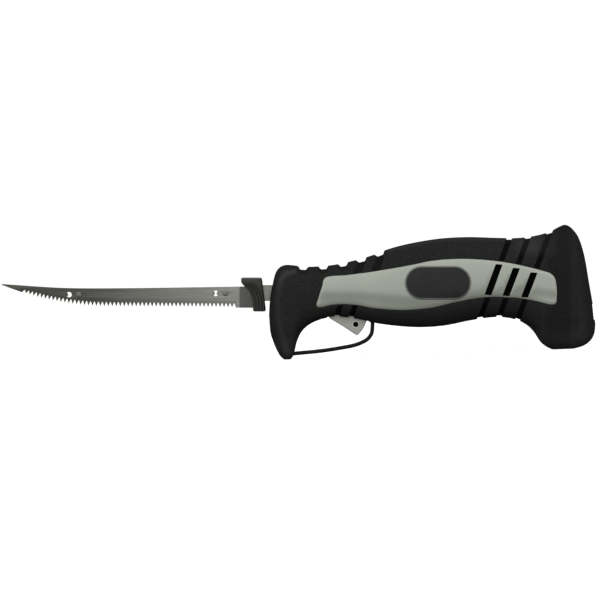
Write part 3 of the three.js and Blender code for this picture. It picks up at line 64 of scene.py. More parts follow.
EDGE = [
    (-50.4, -11.8), (-79.2, -11.3), (-127.2, -10.9), (-159.2, -10.5),
    (-175.2, -9.4), (-191.2, -7.2), (-207.2, -3.9), (-221.6, 0.6),
]
TANG = [
    (-38, 5.2), (-36, 6.4), (18, 6.4), (20, 4.4), (20, -4.4), (18, -6.4),
    (-36, -6.4), (-36, -11.8), (-49.4, -11.8),
]
TOOTH_PITCH = 3.216
TOOTH_DEPTH = 3.4
GULLET = (0.42, 0.58)
GRIND = 1.5
LAST_GRIND = 0.6
EDGE_THICKNESS = 0.15
FADING_TEETH = 4
FADED_SHARE = 0.6
KEYHOLES = [(-184, -1.4), (-66.6, -0.3)]
KEYHOLE_R = 2.2
LUGS = [(-1,), (-1, 1)]
LUG_R = 1.6
LUG_AWAY = 2.2
RIVET_R = 1.2
RIVET_FIT = 0.1
RIVET_BACK = 7.8
SLOT_HALF = 1.45
SLOT_BACK = 12.45
DARK_TIP = -0.165
BRIGHT_HEEL = -0.0625
TIP_TONE = (0.33, 0.33, 0.314, 1)


def to_row(points):
    """Knife axes in millimetres to the frame's metres: the knife leans until guard and butt both stand."""
    p = np.asarray(points, float)
    lean = math.radians(LEAN)
    x = p[:, 0] * math.cos(lean) + p[:, 2] * math.sin(lean) + AHEAD
    z = p[:, 2] * math.cos(lean) - p[:, 0] * math.sin(lean) + RAISED
    return np.column_stack((x, p[:, 1], z)) / 1000


def on_side(points, side):
    """Points of the left or the right one of a pair, from points with y counted outwards."""
    return np.asarray(points, float) * (1, side, 1)


def curve(points, t):
    """Smooth line through points, read at shares t of its length in points."""
    p = np.asarray(points, float)
    place = np.clip(np.asarray(t, float), 0, 1) * (len(p) - 1)
    k = np.minimum(place.astype(int), len(p) - 2)
    w = (place - k)[:, None]
    a, b, c, d = p[np.maximum(k - 1, 0)], p[k], p[k + 1], p[np.minimum(k + 2, len(p) - 1)]
    u, v = (c - a) / 2, (d - b) / 2
    return ((2 * b - 2 * c + u + v) * w + (-3 * b + 3 * c - 2 * u - v)) * w * w + u * w + b


def circle(x, z, radius, count=28, start=0.0, sweep=2 * math.pi):
    """Points of a circle or arc in x and z."""
    turns = [start + sweep * i / count for i in range(count + (sweep < 2 * math.pi))]
    return [(x + radius * math.cos(a), z + radius * math.sin(a)) for a in turns]


def fill(*loops):
    """Triangles over the first closed loop with the other loops left open, counted through all loops."""
    return [tuple(t) for t in tessellate_polygon([[Vector((p[0], p[1], 0)) for p in loop] for loop in loops])]


def made(name, points, faces, recess=None):
    """A closed mesh piece from points in knife axes, with a painted shade amount for each point, below nought
    a painted highlight, where told.
    """
    mesh = bpy.data.meshes.new(name)
    mesh.from_pydata(to_row(points).tolist(), [], faces)
    if recess is not None:
        sunk = mesh.attributes.new("recess", "FLOAT", "POINT")
        sunk.data.foreach_set("value", np.asarray(recess, np.float32))
    shell = bmesh.new()
    shell.from_mesh(mesh)
    bmesh.ops.remove_doubles(shell, verts=shell.verts, dist=1e-7)
    bmesh.ops.recalc_face_normals(shell, faces=shell.faces)
    shell.to_mesh(mesh)
    shell.free()
    piece = bpy.data.objects.new(name, mesh)
    bpy.context.collection.objects.link(piece)
    return piece


def dressed(piece, body, node, slot, *coats, crease=38):
    """Shades and finishes a piece and lets it ride on its body, in a node's stead if one is named."""
    piece.data.materials.clear()
    for coat in coats:
        piece.data.materials.append(coat)
    piece.data.shade_smooth()
    piece.data.set_sharp_from_angle(angle=math.radians(crease))
    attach(piece, body)
    if node:
        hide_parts(node)


def new_group(name, inputs, outputs):
    """An empty shader node group with named number inputs and named outputs."""
    group = bpy.data.node_groups.new(name, "ShaderNodeTree")
    for label, value in inputs.items():
        socket = group.interface.new_socket(label, in_out="INPUT", socket_type="NodeSocketFloat")
        socket.default_value = value
    for label in outputs:
        group.interface.new_socket(label, in_out="OUTPUT", socket_type="NodeSocketFloat")
    return group, group.nodes.new("NodeGroupInput"), group.nodes.new("NodeGroupOutput")


def noise(tree, vector, scale, detail, roughness=0.55):
    """A noise texture node on a vector socket."""
    node = tree.nodes.new("ShaderNodeTexNoise")
    node.inputs["Detail"].default_value = detail
    node.inputs["Roughness"].default_value = roughness
    if isinstance(scale, (int, float)):
        node.inputs["Scale"].default_value = scale
    else:
        tree.links.new(scale, node.inputs["Scale"])
    tree.links.new(vector, node.inputs["Vector"])
    return node


def make_grain():
    """Moulded or cast grain: a fine pebble height, slow mottling, and both along stretched axes."""
    group, given, out = new_group(
        "surface_grain", {"Scale": 900.0, "Stretch": 1.0, "Mottle Scale": 25.0}, ["Fine", "Mottle"]
    )
    place = group.nodes.new("ShaderNodeTexCoord")
    squeeze = group.nodes.new("ShaderNodeCombineXYZ")
    squeeze.inputs["Y"].default_value = 1
    squeeze.inputs["Z"].default_value = 1
    scaled = group.nodes.new("ShaderNodeVectorMath")
    scaled.operation = "MULTIPLY"
    group.links.new(given.outputs["Stretch"], squeeze.inputs["X"])
    group.links.new(place.outputs["Object"], scaled.inputs[0])
    group.links.new(squeeze.outputs[0], scaled.inputs[1])
    fine = noise(group, scaled.outputs[0], given.outputs["Scale"], 3.0)
    slow = noise(group, scaled.outputs[0], given.outputs["Mottle Scale"], 4.0)
    group.links.new(fine.outputs["Fac"], out.inputs["Fine"])
    group.links.new(slow.outputs["Fac"], out.inputs["Mottle"])
    return group


def combined(tree, operation, *values):
    """A number worked out from other number sockets."""
    node = tree.nodes.new("ShaderNodeMath")
    node.operation = operation
    for socket, value in zip(node.inputs, values):
        tree.links.new(value, socket)
    return node.outputs[0]


def ranged(tree, value, low, high, start=0.0, end=1.0):
    """A number socket spread from one range to another."""
    node = tree.nodes.new("ShaderNodeMapRange")
    node.inputs["From Min"].default_value = start
    node.inputs["From Max"].default_value = end
    node.inputs["To Min"].default_value = low
    node.inputs["To Max"].default_value = high
    tree.links.new(value, node.inputs["Value"])
    return node.outputs["Result"]


def make_edge_rub():
    """Rubbed edges: a mask that is high where the surface bends over an edge, broken up by noise."""
    group, given, out = new_group("edge_rub", {"Width": 0.0006, "Break Up": 220.0}, ["Mask"])
    round_off = group.nodes.new("ShaderNodeBevel")
    round_off.samples = 4
    straight = group.nodes.new("ShaderNodeNewGeometry")
    place = group.nodes.new("ShaderNodeTexCoord")
    alike = group.nodes.new("ShaderNodeVectorMath")
    alike.operation = "DOT_PRODUCT"
    group.links.new(given.outputs["Width"], round_off.inputs["Radius"])
    group.links.new(round_off.outputs["Normal"], alike.inputs[0])
    group.links.new(straight.outputs["Normal"], alike.inputs[1])
    bent = ranged(group, alike.outputs["Value"], 0.0, 1.0, 0.995, 0.8)
    patchy = noise(group, place.outputs["Object"], given.outputs["Break Up"], 3.0)
    group.links.new(combined(group, "MULTIPLY", bent, patchy.outputs["Fac"]), out.inputs["Mask"])
    return group


surface_grain = make_grain()
edge_rub = make_edge_rub()


def blended(tree, factor, low, high):
    """A colour between two, chosen over the surface by a factor socket."""
    mix = tree.nodes.new("ShaderNodeMix")
    mix.data_type = "RGBA"
    tree.links.new(factor, mix.inputs["Factor"])
    for socket, value in ((mix.inputs["A"], low), (mix.inputs["B"], high)):
        if isinstance(value, tuple):
            socket.default_value = (*value, 1)
        else:
            tree.links.new(value, socket)
    return mix.outputs["Result"]


def finish(
    name, dark, light, worn, rough, grain=900.0, stretch=1.0, mottle=25.0, depth=0.00002, rub_and_highlight=0.0006,
    metallic=0.0, specular=0.5, coat=0.0,
):
    """A material with mottled colour, grain that also varies the gloss, and rubbed edges."""
    material = bpy.data.materials.new(name)
    material.use_nodes = True
    tree = material.node_tree
    shader = tree.nodes["Principled BSDF"]
    shader.inputs["Metallic"].default_value = metallic
    shader.inputs["Specular IOR Level"].default_value = specular
    shader.inputs["Coat Weight"].default_value = coat
    cover = tree.nodes.new("ShaderNodeGroup")
    cover.node_tree = surface_grain
    cover.inputs["Scale"].default_value = grain
    cover.inputs["Stretch"].default_value = stretch
    cover.inputs["Mottle Scale"].default_value = mottle
    wear = tree.nodes.new("ShaderNodeGroup")
    wear.node_tree = edge_rub
    wear.inputs["Width"].default_value = rub_and_highlight
    ground = blended(tree, ranged(tree, cover.outputs["Mottle"], 0, 1, 0.3, 0.7), dark, light)
    colour = blended(tree, wear.outputs["Mask"], ground, worn)
    tree.links.new(colour, shader.inputs["Base Color"])
    tree.links.new(ranged(tree, cover.outputs["Fine"], *rough, 0.3, 0.7), shader.inputs["Roughness"])
    bump = tree.nodes.new("ShaderNodeBump")
    bump.inputs["Strength"].default_value = 0.6
    bump.inputs["Distance"].default_value = depth
    tree.links.new(cover.outputs["Fine"], bump.inputs["Height"])
    tree.links.new(bump.outputs["Normal"], shader.inputs["Normal"])
    return material


def tipped_steel():
    """Ground blade steel: lengthwise streaks, darker towards the tip."""
    steel = finish(
        "ground_blade_steel", (0.165, 0.166, 0.15), (0.268, 0.269, 0.246), (0.38, 0.38, 0.35), (0.36, 0.5),
        grain=2000.0, stretch=0.03, mottle=1100.0, depth=0.000004, rub_and_highlight=0.0002, metallic=0.55, specular=0.4,
    )
    tree = steel.node_tree
    shader = tree.nodes["Principled BSDF"]
    place = tree.nodes.new("ShaderNodeTexCoord")
    split = tree.nodes.new("ShaderNodeSeparateXYZ")
    tree.links.new(place.outputs["Object"], split.inputs[0])
    fade = ranged(tree, split.outputs["X"], 1.0, 0.0, DARK_TIP, BRIGHT_HEEL)
    ground = shader.inputs["Base Color"].links[0].from_socket
    dimmed = tree.nodes.new("ShaderNodeMix")
    dimmed.data_type = "RGBA"
    dimmed.blend_type = "MULTIPLY"
    dimmed.inputs["B"].default_value = TIP_TONE
    tree.links.new(fade, dimmed.inputs["Factor"])
    tree.links.new(ground, dimmed.inputs["A"])
    tree.links.new(dimmed.outputs["Result"], shader.inputs["Base Color"])
    return steel


def lugged_hole(x, z, lugs):
    """A round hole into which round lugs of the steel reach from one side or both."""
    loop = []
    for px, pz in circle(0, 0, KEYHOLE_R, 48):
        for way in lugs:
            if abs(pz) < LUG_R and way * px > 0:
                px = way * min(way * px, LUG_AWAY - math.sqrt(LUG_R**2 - pz**2))
        loop.append((x + px, z + pz))
    return loop


def blade(side):
    """Points and faces of one blade; side -1 is the left one, whose keyholes run on into rivet slots."""
    spine = TIP + [tuple(p) for p in curve(SPINE, np.linspace(0, 1, 64))]
    line = curve(EDGE, np.linspace(0, 1, 3000))
    run = np.concatenate(([0], np.cumsum(np.linalg.norm(np.diff(line, axis=0), axis=1))))
    teeth = round(run[-1] / TOOTH_PITCH)
    stops = np.linspace(0, run[-1], teeth + 1)
    tips = np.column_stack((np.interp(stops, run, line[:, 0]), np.interp(stops, run, line[:, 1])))
    edge, grind = [], []
    for i in range(teeth):
        step = tips[i + 1] - tips[i]
        inward = np.array((step[1], -step[0])) / np.linalg.norm(step)
        depth = TOOTH_DEPTH * (FADED_SHARE + (1 - FADED_SHARE) * min(1, (teeth - i) / FADING_TEETH))
        for share, cut in ((0, 0), (GULLET[0], depth), (GULLET[1], depth)):
            edge.append(tuple(tips[i] + step * share + inward * cut))
            grind.append(tuple(tips[i] + step * share + inward * (depth + GRIND)))
    edge.append(tuple(tips[teeth]))
    grind.append(tuple(tips[teeth] + inward * (depth + LAST_GRIND)))
    holes = []
    for (x, z), lugs in zip(KEYHOLES, LUGS):
        if side < 0:
            half = math.asin(SLOT_HALF / KEYHOLE_R)
            ring = circle(x, z, KEYHOLE_R, 24, half, 2 * math.pi - 2 * half)
            holes.append(ring + circle(x + SLOT_BACK, z, SLOT_HALF, 12, -math.pi / 2, math.pi))
        else:
            holes += [lugged_hole(x, z, lugs), circle(x + RIVET_BACK, z, RIVET_R + RIVET_FIT)]
    rim = spine + TANG
    inner, outer = rim + edge, rim + grind
    flat = [p for hole in holes for p in hole]
    points = [(x, BLADE_NEAR, z) for x, z in inner + flat] + [(x, BLADE_FAR, z) for x, z in outer + flat]
    points += [(x, BLADE_NEAR + EDGE_THICKNESS, z) for x, z in edge]
    back, thin = len(inner) + len(flat), 2 * (len(inner) + len(flat))
    faces = fill(inner, *holes)
    faces += [tuple(back + i for i in t) for t in fill(outer, *holes)]
    m, n = len(rim), len(edge)
    faces += [(k, k + 1, back + k + 1, back + k) for k in range(m - 1)]
    faces += [(m - 1, m, thin, back + m - 1), (back + m - 1, back + m, thin)]
    for k in range(n - 1):
        faces.append((m + k, m + k + 1, thin + k + 1, thin + k))
        faces.append((back + m + k, back + m + k + 1, thin + k + 1, thin + k))
    faces += [(m + n - 1, 0, back, thin + n - 1), (back + m + n - 1, back, thin + n - 1)]
    start = len(inner)
    for hole in holes:
        for k in range(len(hole)):
            a, b = start + k, start + (k + 1) % len(hole)
            faces.append((a, b, back + b, back + a))
        start += len(hole)
    return on_side(points, side), faces


blade_steel = tipped_steel()
for side, word in SIDES:
    strip = made("toothed_blade_" + word, *blade(side))
    dressed(strip, word + "_blade", "blade_" + word, "blade_steel", blade_steel, crease=25)


# Blade rivets
# Two steel rivets fixed in the right blade slide in the left blade's slots and keep the pair together.
# Their heads are domed by the press and stand a little proud of the steel.
def lofted(rings, far_end=True):
    """Points and faces over a row of closed rings of equal count; the far end is flat or closes by itself."""
    count = len(rings[0])
    faces = []
    for k in range(len(rings) - 1):
        for j in range(count):
            a, b = k * count + j, k * count + (j + 1) % count
            faces.append((a, b, b + count, a + count))
    last = (len(rings) - 1) * count
    faces.append(tuple(reversed(range(count))))
    if far_end:
        faces.append(tuple(range(last, last + count)))
    return [p for ring in rings for p in ring], faces


def turned(profile, x, z, count=28):
    """A profile of radius and y, turned about the line at x and z."""
    return lofted([[(px, y, pz) for px, pz in circle(x, z, radius, count)] for radius, y in profile])


dull_steel = finish(
    "dull_rivet_steel", (0.12, 0.12, 0.112), (0.16, 0.16, 0.15), (0.26, 0.26, 0.245), (0.42, 0.56),
    grain=900.0, mottle=200.0, depth=0.000006, rub_and_highlight=0.0002, metallic=0.6, specular=0.3,
)
half_dome = [(0.4, 1.6), (1.1, 1.54), (1.7, 1.38), (2.08, 1.16), (2.2, 1.0), (RIVET_R, 1.0)]
dome = [(r, -y) for r, y in half_dome] + half_dome[::-1]
for (x, z), word in zip(KEYHOLES, ("tip", "heel")):
    rivet = made("domed_rivet_" + word, *turned(dome, x + RIVET_BACK, z))
    dressed(rivet, "right_blade", word + "_rivet", "zinc_steel", dull_steel)


# Blade bases
# Each blade has a finger block of dark olive nylon moulded round its heel, to push and pull it by.
# The block has rounded edges and curved ribs beside its front edge; a flat tongue runs out along the blade.
BASE_LOW = -14.8
BASE_TOP = 12.4
BASE_FAR = 5.3
BASE_LIP = 1.4
BASE_CORNER = 1.4
BASE_EDGE = 2
BASE_FRONT = [
    (-14.8, -36.8), (-6, -37.2), (0.4, -39.2), (3.5, -41.3),
    (5.4, -43.7), (7.2, -45.7), (9, -46.5), (12.4, -46.4),
]
BASE_REAR = [(-14.8, -26.7), (-13, -26.5), (12.4, -29.6)]
BASE_ROW = 0.5
BASE_ROW_END = 1.6
BASE_COLUMN = 0.34
BASE_COLUMNS = 44
RIB_HEIGHT = 0.8
RIB_INSET = 1.6
RIB_PITCH = 2.5
RIB_FIELD = (0.5, 10.4)
RIB_FIELD_FADE = 0.6
RIB_LOW = -13.6
RIB_LOW_FADE = 0.8
RIB_TOP = 8.4
RIB_TOP_FADE = 1.2
BLADE_ROOM = ((-60, -35.7), (-12.1, 5.5))
TANG_ROOM = ((-38.3, 0), (-6.7, 6.7))
ROOM_HALF = 1.0
TONGUE = [(-47.4, 5.2), (-36, 5.2), (-36, -11.8), (-47.4, -11.8)]
TONGUE_CORNER = 1.2
TONGUE_NEAR = 1.0
TONGUE_FAR = 2.7
TONGUE_ROUND = 0.5


def stepped(low, high, step, radius):
    """Even steps between two ends, with closer ones inside the rounding at each end."""
    near = radius * (1 - np.cos(np.linspace(0, math.pi / 2, 6)))
    middle = np.linspace(low + radius, high - radius, max(2, int((high - low - 2 * radius) / step)))
    return np.concatenate((low + near[:-1], middle, (high - near[:-1])[::-1]))


def ramp(value, width):
    """Straight step from 0 to 1 over a width."""
    return np.clip(value / width, 0, 1)


def base_block():
    """A rounded, ribbed block: a fine sheet over a flat back, and how deep each point lies between ribs."""
    zs = stepped(BASE_LOW, BASE_TOP, BASE_ROW, BASE_ROW_END)
    front = np.interp(zs, *zip(*BASE_FRONT))
    front = np.convolve(np.pad(front, 3, mode="edge"), np.ones(7) / 7, "valid")
    rear = np.interp(zs, *zip(*BASE_REAR))
    end = np.minimum(zs - BASE_LOW, BASE_TOP - zs)
    tuck = BASE_CORNER - np.sqrt(np.maximum(BASE_CORNER**2 - np.maximum(BASE_CORNER - end, 0) ** 2, 0))
    sheet, back, sunk = [], [], []
    for z, x0, x1, gap in zip(zs, front + tuck, rear - tuck, end):
        xs = stepped(x0, x1, BASE_COLUMN, BASE_CORNER)
        xs = np.interp(np.linspace(0, 1, BASE_COLUMNS), np.linspace(0, 1, len(xs)), xs)
        rim = np.minimum(np.minimum(xs - x0, x1 - xs), gap)
        bend = np.sqrt(np.maximum(1 - np.maximum(1 - rim / BASE_EDGE, 0) ** 2, 0))
        aft = xs - x0
        wave = 0.5 + 0.5 * np.cos((aft - RIB_INSET) * 2 * math.pi / RIB_PITCH)
        ribbed = ramp(aft - RIB_FIELD[0], RIB_FIELD_FADE) * ramp(RIB_FIELD[1] - aft, RIB_FIELD_FADE)
        ribbed = ribbed * ramp(RIB_TOP - z, RIB_TOP_FADE) * ramp(z - RIB_LOW, RIB_LOW_FADE)
        swell = (BASE_FAR - RIB_HEIGHT - BASE_LIP) * bend
        ys = BASE_LIP + swell + RIB_HEIGHT * (1 - ribbed + wave * ribbed) * bend
        sheet.append(np.column_stack((xs, ys, np.full(len(xs), z))))
        back.append(np.column_stack((xs, np.full(len(xs), BLADE_NEAR), np.full(len(xs), z))))
        sunk.append(RIB_HEIGHT * (1 - wave) * ribbed)
    level = np.zeros(np.size(sunk))
    return *closed_sheet(np.array(sheet), np.array(back)), np.concatenate((np.ravel(sunk), level))


def closed_sheet(front, back):
    """Points and faces of two like grids of points, joined round their borders."""
    rows, columns = front.shape[:2]
    points = np.concatenate((front.reshape(-1, 3), back.reshape(-1, 3)))
    index = np.arange(rows * columns).reshape(rows, columns)
    quads = np.stack((index[:-1, :-1], index[:-1, 1:], index[1:, 1:], index[1:, :-1]), -1).reshape(-1, 4)
    far = rows * columns
    border = np.concatenate((index[0, :-1], index[:-1, -1], index[-1, :0:-1], index[:0:-1, 0]))
    after = np.roll(border, -1)
    walls = np.column_stack((border, after, after + far, border + far))
    return points, np.concatenate((quads, quads[:, ::-1] + far, walls)).tolist()


def block(xs, ys, zs):
    """Points and faces of a plain block, used only to cut with."""
    corners = [(x, y, z) for x in xs for y in ys for z in zs]
    return corners, [(0, 1, 3, 2), (4, 6, 7, 5), (0, 4, 5, 1), (2, 3, 7, 6), (0, 2, 6, 4), (1, 5, 7, 3)]


def clear_flaps(mesh):
    """Welds the finest slivers that a cut leaves and takes out flaps of no thickness."""
    shell = bmesh.new()
    shell.from_mesh(mesh)
    bmesh.ops.remove_doubles(shell, verts=shell.verts, dist=2e-6)
    bmesh.ops.dissolve_degenerate(shell, edges=shell.edges, dist=1e-7)
    bmesh.ops.triangulate(shell, faces=shell.faces)
    alike = {}
    for face in shell.faces:
        alike.setdefault(frozenset(face.verts), []).append(face)
    flaps = [face for faces in alike.values() if len(faces) > 1 for face in faces]
    bmesh.ops.delete(shell, geom=flaps, context="FACES")
    shell.to_mesh(mesh)
    shell.free()


def carve(piece, *cutters):
    """Cuts shapes out of a piece for good."""
    tools = []
    for points, faces in cutters:
        tool = made(piece.name + "_cutter", points, faces)
        change = piece.modifiers.new("cut", "BOOLEAN")
        change.operation = "DIFFERENCE"
        change.solver = "EXACT"
        change.object = tool
        tools.append(tool)
    bpy.context.view_layer.update()
    whole = piece.data
    cut = piece.evaluated_get(bpy.context.evaluated_depsgraph_get())
    mesh = bpy.data.meshes.new_from_object(cut)
    piece.modifiers.clear()
    piece.data = mesh
    clear_flaps(mesh)
    for old in [whole] + [tool.data for tool in tools]:
        bpy.data.meshes.remove(old)


def inset(loop, distance):
    """A closed clockwise loop moved inwards by a distance."""
    p = np.asarray(loop, float)
    run = np.roll(p, -1, axis=0) - np.roll(p, 1, axis=0)
    run /= np.linalg.norm(run, axis=1)[:, None]
    return np.column_stack((p[:, 0] + run[:, 1] * distance, p[:, 1] - run[:, 0] * distance))


def rounded_corners(loop, radius, count=5):
    """A closed loop with each corner turned into a short curve."""
    p = [np.array(q, float) for q in loop]
    out = []
    for before, corner, after in zip([p[-1]] + p[:-1], p, p[1:] + [p[0]]):
        back, on = before - corner, after - corner
        reach = min(radius, np.linalg.norm(back) / 2.2, np.linalg.norm(on) / 2.2)
        a = corner + back / np.linalg.norm(back) * reach
        b = corner + on / np.linalg.norm(on) * reach
        for i in range(count + 1):
            t = i / count
            out.append(tuple((1 - t) ** 2 * a + 2 * t * (1 - t) * corner + t * t * b))
    return out


def soft_plate(loop, low, high, radius, count=4):
    """A clockwise x and z outline as a plate between two y, its edges rounded."""
    turns = [math.pi / 2 * i / count for i in range(count + 1)]
    lower = [(radius * (1 - math.sin(a)), low + radius * (1 - math.cos(a))) for a in turns]
    upper = [(radius * (1 - math.sin(a)), high - radius * (1 - math.cos(a))) for a in reversed(turns)]
    return lofted([[(x, y, z) for x, z in inset(loop, step)] for step, y in lower + upper])


def paint_light_by_depth(material, colour, start, end):
    """Paints shade or highlight on a material: turns it towards another colour between two values of its
    attribute.
    """
    tree = material.node_tree
    shader = tree.nodes["Principled BSDF"]
    cut = tree.nodes.new("ShaderNodeAttribute")
    cut.attribute_name = "recess"
    ground = shader.inputs["Base Color"].links[0].from_socket
    share = ranged(tree, cut.outputs["Fac"], 0.0, 1.0, start, end)
    tree.links.new(blended(tree, share, ground, colour), shader.inputs["Base Color"])


olive_nylon = finish(
    "olive_nylon", (0.0165, 0.0177, 0.0148), (0.0235, 0.025, 0.021), (0.05, 0.053, 0.046), (0.5, 0.68),
    grain=1100.0, mottle=120.0, depth=0.00003, rub_and_highlight=0.0005, specular=0.35,
)
# Painted shade: the nylon is darkened between the ribs, by their depth.
paint_light_by_depth(olive_nylon, (0.006, 0.0065, 0.0055), 0.1, 0.7)
tongue_nylon = finish(
    "tongue_nylon", (0.066, 0.068, 0.061), (0.082, 0.084, 0.075), (0.12, 0.122, 0.11), (0.5, 0.64),
    grain=1100.0, mottle=120.0, depth=0.00002, rub_and_highlight=0.0004, specular=0.3,
)
block_points, block_faces, between_ribs = base_block()
tongue_outline = rounded_corners(TONGUE, TONGUE_CORNER)
tongue_points, tongue_faces = soft_plate(tongue_outline, TONGUE_NEAR, TONGUE_FAR, TONGUE_ROUND)
for side, word in SIDES:
    finger_block = made("finger_block_" + word, on_side(block_points, side), block_faces, between_ribs)
    ys = (-side * ROOM_HALF, side * ROOM_HALF)
    carve(finger_block, *[block(xs, ys, zs) for xs, zs in (BLADE_ROOM, TANG_ROOM)])
    tongue = made("tongue_" + word, on_side(tongue_points, side), tongue_faces)
    dressed(finger_block, word + "_blade", "blade_base_" + word, "base_olive", olive_nylon)
    dressed(tongue, word + "_blade", None, "base_olive", tongue_nylon)


# Drive train
# Zinc-plated bars carry the blades to and fro, run by a nylon worm wheel with two opposed eccentrics.
# Sprung clips hold the tangs, white acetal blocks guide them, and a folded frame holds the axle.
def coat_node(names, material):
    """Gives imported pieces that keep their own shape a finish."""
    for name in names:
        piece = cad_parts[name]
        piece.data.materials.clear()
        piece.data.materials.append(material)


zinc_steel = finish(
    "zinc_plated_steel", (0.34, 0.35, 0.36), (0.46, 0.47, 0.48), (0.62, 0.63, 0.64), (0.3, 0.46),
    grain=700.0, mottle=90.0, depth=0.000008, rub_and_highlight=0.0003, metallic=0.9,
)
spring_steel = finish(
    "bright_spring_steel", (0.44, 0.44, 0.45), (0.54, 0.54, 0.55), (0.68, 0.68, 0.68), (0.22, 0.36),
    grain=900.0, stretch=0.2, mottle=120.0, depth=0.000004, rub_and_highlight=0.0002, metallic=1.0,
)
natural_acetal = finish(
    "natural_acetal", (0.66, 0.645, 0.59), (0.74, 0.725, 0.67), (0.8, 0.79, 0.75), (0.42, 0.56),
    grain=600.0, mottle=60.0, depth=0.00001, rub_and_highlight=0.0003,
)
turned_brass = finish(
    "turned_brass", (0.5, 0.34, 0.13), (0.62, 0.43, 0.17), (0.75, 0.56, 0.26), (0.26, 0.42),
    grain=900.0, stretch=3.0, mottle=150.0, depth=0.000006, rub_and_highlight=0.0002, metallic=1.0,
)
coat_node(["drive_bar_left", "drive_bar_right", "gear_axle", "gear_frame"], zinc_steel)
coat_node(["blade_clip_left", "blade_clip_right", "axle_clip_left", "axle_clip_right"], spring_steel)
coat_node(["blade_guide", "bar_guide", "crank_gear"], natural_acetal)
coat_node(["worm"], turned_brass)


# Motor
# A direct-current motor in a drawn steel can: curved magnets, a wound armature, a copper commutator,
# carbon brushes in a moulded end cap, and a cooling fan on the tail of the shaft.
magnet_grey = finish(
    "sintered_magnet", (0.04, 0.04, 0.042), (0.06, 0.06, 0.063), (0.1, 0.1, 0.1), (0.6, 0.8),
    grain=1400.0, mottle=200.0, depth=0.00003,
)
wound_copper = finish(
    "wound_copper", (0.4, 0.17, 0.07), (0.54, 0.25, 0.11), (0.7, 0.4, 0.22), (0.3, 0.5),
    grain=1600.0, stretch=0.3, mottle=200.0, depth=0.00003, rub_and_highlight=0.0003, metallic=1.0,
)
carbon = finish(
    "pressed_carbon", (0.009, 0.009, 0.009), (0.018, 0.018, 0.018), (0.04, 0.04, 0.04), (0.6, 0.85),
    grain=1500.0, mottle=300.0, depth=0.00002,
)
black_plastic = finish(
    "black_moulded_plastic", (0.008, 0.008, 0.008), (0.012, 0.012, 0.012), (0.03, 0.03, 0.03), (0.45, 0.62),
    grain=1200.0, mottle=80.0, depth=0.00002, rub_and_highlight=0.0004, specular=0.25,
)
coat_node(["motor_can"], zinc_steel)
coat_node(["magnet_upper", "magnet_lower"], magnet_grey)
coat_node(["armature", "commutator"], wound_copper)
coat_node(["brush_upper", "brush_lower"], carbon)
coat_node(["motor_end_cap", "fan"], black_plastic)
coat_node(["motor_shaft"], spring_steel)


# Switch and wiring
# A small moulded switch with a white plunger, a green rectifier board, and three insulated wires.
# They sit inside the handle and show only through its openings.
coat_node(["switch_body"], black_plastic)
coat_node(["switch_plunger"], natural_acetal)
coat_node(
    ["rectifier_board"],
    finish(
        "green_board", (0.02, 0.07, 0.03), (0.03, 0.1, 0.045), (0.2, 0.2, 0.12), (0.35, 0.5),
        grain=500.0, mottle=140.0, depth=0.00001, rub_and_highlight=0.0003,
    ),
)
for node, dark, light in (
    ("wire_live", (0.09, 0.04, 0.02), (0.12, 0.055, 0.028)),
    ("wire_switched", (0.26, 0.02, 0.014), (0.33, 0.03, 0.02)),
    ("wire_neutral", (0.02, 0.055, 0.18), (0.03, 0.075, 0.23)),
):
    sleeve = finish("sleeve_of_" + node, dark, light, (0.3, 0.3, 0.3), (0.4, 0.55), mottle=150.0)
    coat_node([node], sleeve)


# Trigger
# A pale grey nylon paddle, rounded along its edges, swings on a steel pin inside the handle.
# A black button slides across it to lock it, and a coil spring pushes it back down.
TRIGGER = [
    (26, -11), (27.5, -9.7), (30.5, -9.7), (32, -11.5), (32.6, -13), (46, -15.2), (54, -17.9), (54.2, -22.4),
    (51.4, -28.4), (47.6, -33.2), (46.4, -33.8), (45.2, -33.4), (35, -26.6), (24, -20), (24.4, -14),
]
PADDLE_HALF = 5.5
PADDLE_CORNER = 1.3
PADDLE_ROUND = 1.0
PIVOT = (29, -12.5)
PIVOT_HOLE = 1.75
PIN_PROFILE = [(1.2, -9), (1.5, -8.7), (1.5, 8.7), (1.2, 9)]
LOCK = (45.4, -25.1)
LOCK_HOLE = 2.3
HOLE_HALF = 9
BUTTON_PROFILE = [
    (0.3, -5.35), (0.85, -5.4), (1.1, -5.62), (1.3, -5.84), (1.6, -5.9), (2.02, -5.84), (2.2, -5.62),
    (2.2, 3.32), (2.02, 3.54), (1.6, 3.6), (1.3, 3.54), (1.1, 3.32), (0.85, 3.1), (0.3, 3.05),
]
COIL_X = 51.4
COIL_Z = (-16.324, -9.3)
COIL_TURNS = 5
COIL_R = 1.6
WIRE_R = 0.4


def rod(x, z, radius, low, high, count=28):
    """Points and faces of a round bar along y."""
    return lofted([[(px, y, pz) for px, pz in circle(x, z, radius, count)] for y in (low, high)])


pale_nylon = finish(
    "pale_grey_nylon", (0.28, 0.287, 0.254), (0.318, 0.325, 0.29), (0.44, 0.445, 0.41), (0.4, 0.55),
    grain=1000.0, mottle=70.0, depth=0.000015, rub_and_highlight=0.0005, specular=0.4,
)
paddle_outline = rounded_corners(TRIGGER, PADDLE_CORNER)
paddle = made("trigger_paddle", *soft_plate(paddle_outline, -PADDLE_HALF, PADDLE_HALF, PADDLE_ROUND))
carve(paddle, rod(*PIVOT, PIVOT_HOLE, -HOLE_HALF, HOLE_HALF), rod(*LOCK, LOCK_HOLE, -HOLE_HALF, HOLE_HALF))
dressed(paddle, "trigger_lever", "trigger", "pale_grey", pale_nylon)

pin = made("pivot_pin", *turned(PIN_PROFILE, *PIVOT))
dressed(pin, "handle", "trigger_pin", "spring_steel", spring_steel)

